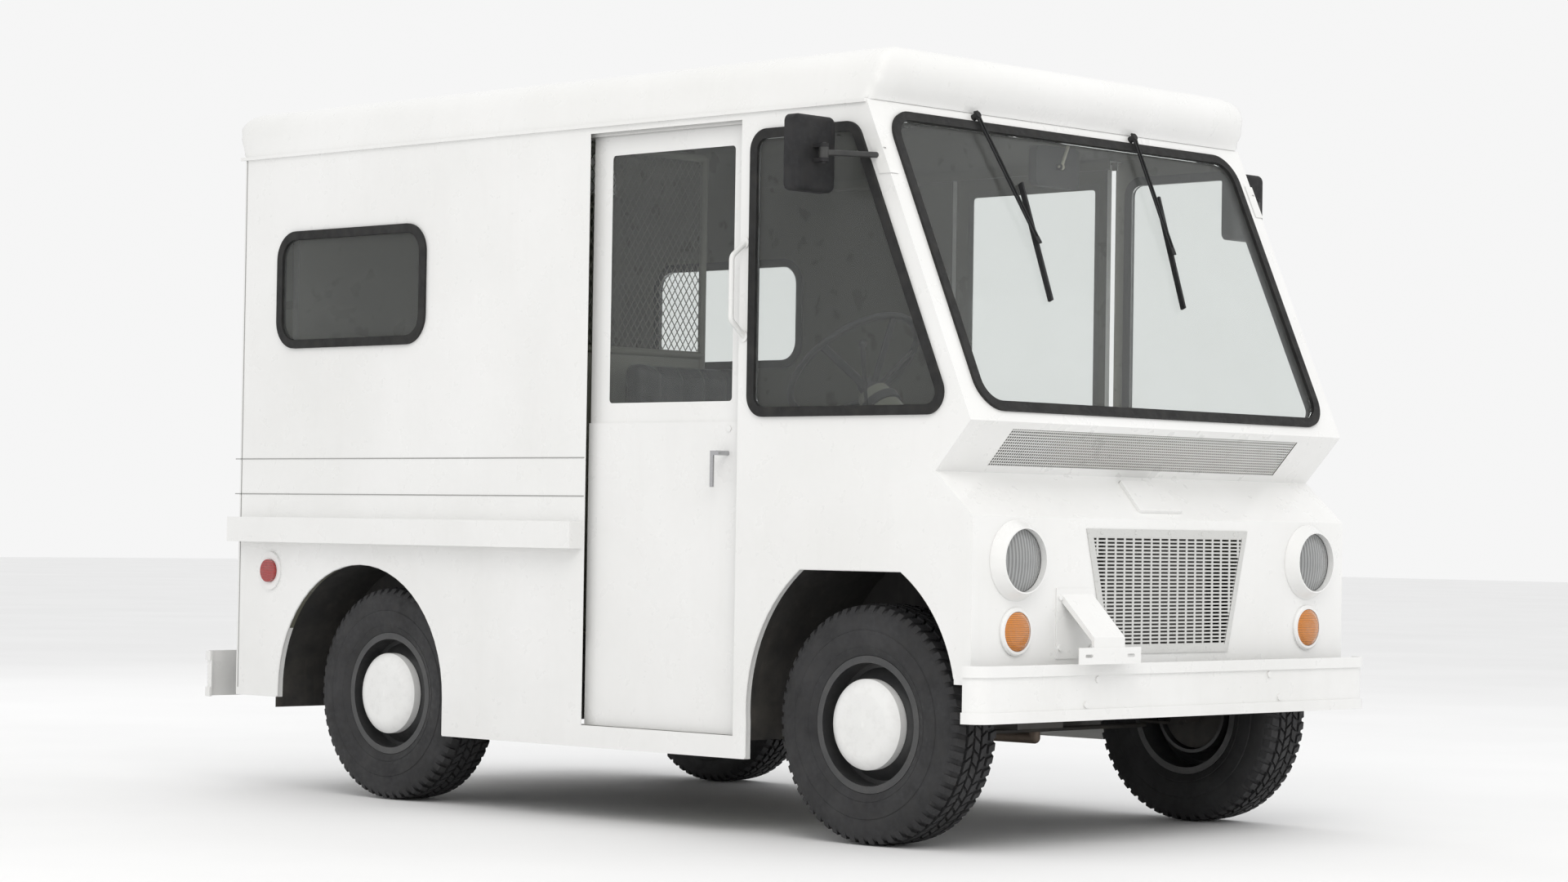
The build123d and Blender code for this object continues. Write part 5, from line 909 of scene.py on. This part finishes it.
def sewChannels(piece, low, high, axis, lines, depth, wide):
    span = high[axis] - low[axis]
    centres = [low[axis] + span * t for t in lines]
    middle = [(low[i] + high[i]) / 2 for i in range(3)]
    for vert in piece.data.vertices:
        near = min(abs(vert.co[axis] - c) for c in centres)
        if near < wide:
            pull = depth * (1 + math.cos(math.pi * near / wide)) / 2
            for i in range(3):
                if i != axis:
                    reach = vert.co[i] - middle[i]
                    if abs(reach) > 0.02:
                        vert.co[i] -= math.copysign(min(pull, abs(reach) * 0.3), reach)


inset, plateTop = cushionLook["inset"], plateLook["topZ"]
cushionLow = (seatLow[0] + inset, seatLow[1] + inset, plateTop + 0.004)
cushionHigh = (seatHigh[0] - inset, seatHigh[1] - 0.112, plateTop + cushionLook["high"] - inset)
backLow = (seatLow[0] + inset, seatHigh[1] - 0.090, plateTop + 0.012)
backHigh = (seatHigh[0] - inset, seatHigh[1] - 0.012, seatHigh[2] - inset)
for name, low, high, rounding in (
    ("seatCushion", cushionLow, cushionHigh, 0.032),
    ("seatBack", backLow, backHigh, 0.030),
):
    piece = softBlock(name, low, high, rounding)
    puff(piece)
    deep, wide = cushionLook["channelDeep"], cushionLook["channelWide"]
    sewChannels(piece, low, high, 0, cushionLook["channels"], deep, wide)
    smoother = piece.modifiers.new("finer", "SUBSURF")
    smoother.levels = 1
    smoother.render_levels = 1
    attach(piece, "driver_seat")
    if name == "seatCushion":
        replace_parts(piece, "driver_seat")
verts, faces = [], []
plateX = seatLow[0] + plateLook["sideIn"], seatHigh[0] - plateLook["sideIn"]
addBox(verts, faces, (plateX[0], seatLow[1] + plateLook["frontIn"], plateLook["lowZ"]),
       (plateX[1], seatHigh[1], plateTop))
addBox(verts, faces, (plateX[0], seatHigh[1] - plateLook["thick"], plateLook["lowZ"]),
       (plateX[1], seatHigh[1], seatHigh[2] - plateLook["headIn"]))
meshPiece("seatPlate", verts, faces, chassisPaint, "driver_seat", smooth=False)
print("seat made")

# floor, light and camera
stageLook = {
    "floor": (0.90, 0.90, 0.90), "floorRough": 0.75, "size": 60.0, "world": (1.0, 1.0, 1.0), "worldStrength": 0.92,
}
floorMaterial, floorTree, floorShader = newMaterial("studioFloor")
floorVector = objectCoords(floorTree)
floorTone = blendColour(floorTree, ramp(floorTree, noise(floorTree, floorVector, 0.6, 4.0), 0.3, 0.7),
                        stageLook["floor"], tuple(c * 0.96 for c in stageLook["floor"]))
floorTree.links.new(floorTone, floorShader.inputs["Base Color"])
floorShader.inputs["Roughness"].default_value = stageLook["floorRough"]
floorData = bpy.data.meshes.new("studioFloor")
reach = stageLook["size"]
floorCorners = [(-reach, -reach, 0), (reach, -reach, 0), (reach, reach, 0), (-reach, reach, 0)]
floorData.from_pydata(floorCorners, [], [(0, 1, 2, 3)])
floor = bpy.data.objects.new("studioFloor", floorData)
floorData.materials.append(floorMaterial)
scene.collection.objects.link(floor)

world = bpy.data.worlds.new("studioWorld")
world.use_nodes = True
world.node_tree.nodes["Background"].inputs["Color"].default_value = (*stageLook["world"], 1.0)
world.node_tree.nodes["Background"].inputs["Strength"].default_value = stageLook["worldStrength"]
scene.world = world

# name, place, size, power, tint; all are aimed at the middle of the truck
aimPoint = Vector((0, 0, 0.9))
lampLook = (
    ("keyLight", (-5.5, -6.5, 7.5), 6.0, 300.0, (1.0, 0.98, 0.95)),
    ("fillLight", (6.5, -5.0, 5.0), 6.0, 50.0, (0.93, 0.96, 1.0)),
    ("backLight", (3.0, 7.0, 6.5), 5.0, 90.0, (1.0, 1.0, 1.0)),
)
for lampName, spot, size, power, tint in lampLook:
    lampData = bpy.data.lights.new(lampName, "AREA")
    lampData.shape = "SQUARE"
    lampData.size = size
    lampData.energy = power
    lampData.color = tint
    lamp = bpy.data.objects.new(lampName, lampData)
    lamp.location = spot
    lamp.rotation_euler = (aimPoint - Vector(spot)).to_track_quat("-Z", "Y").to_euler()
    lamp.visible_glossy = False  # keeps the windscreen clear
    scene.collection.objects.link(lamp)

scene.view_settings.view_transform = "Standard"

cameraLook = {
    "spot": (-8.2451, -7.9586, 0.8755), "lens": 82.82, "sensor": 36.0, "farClip": 200.0,
    "yaw": 46.284, "pitch": 1.410, "roll": 0.889,
}
yaw, pitch, roll = (math.radians(cameraLook[k]) for k in ("yaw", "pitch", "roll"))
forward = Vector((math.sin(yaw) * math.cos(pitch), math.cos(yaw) * math.cos(pitch), math.sin(pitch)))
level = forward.cross(Vector((0, 0, 1))).normalized()
upward = level.cross(forward).normalized()
rightHand = level * math.cos(roll) + upward * math.sin(roll)
upHand = -level * math.sin(roll) + upward * math.cos(roll)
cameraData = bpy.data.cameras.new("viewCamera")
cameraData.sensor_width = cameraLook["sensor"]
cameraData.lens = cameraLook["lens"]
cameraData.clip_end = cameraLook["farClip"]
camera = bpy.data.objects.new("viewCamera", cameraData)
turn = Matrix((rightHand, upHand, -forward)).transposed().to_4x4()
camera.matrix_world = Matrix.Translation(cameraLook["spot"]) @ turn
scene.collection.objects.link(camera)
scene.camera = camera
print("camera and lights set")
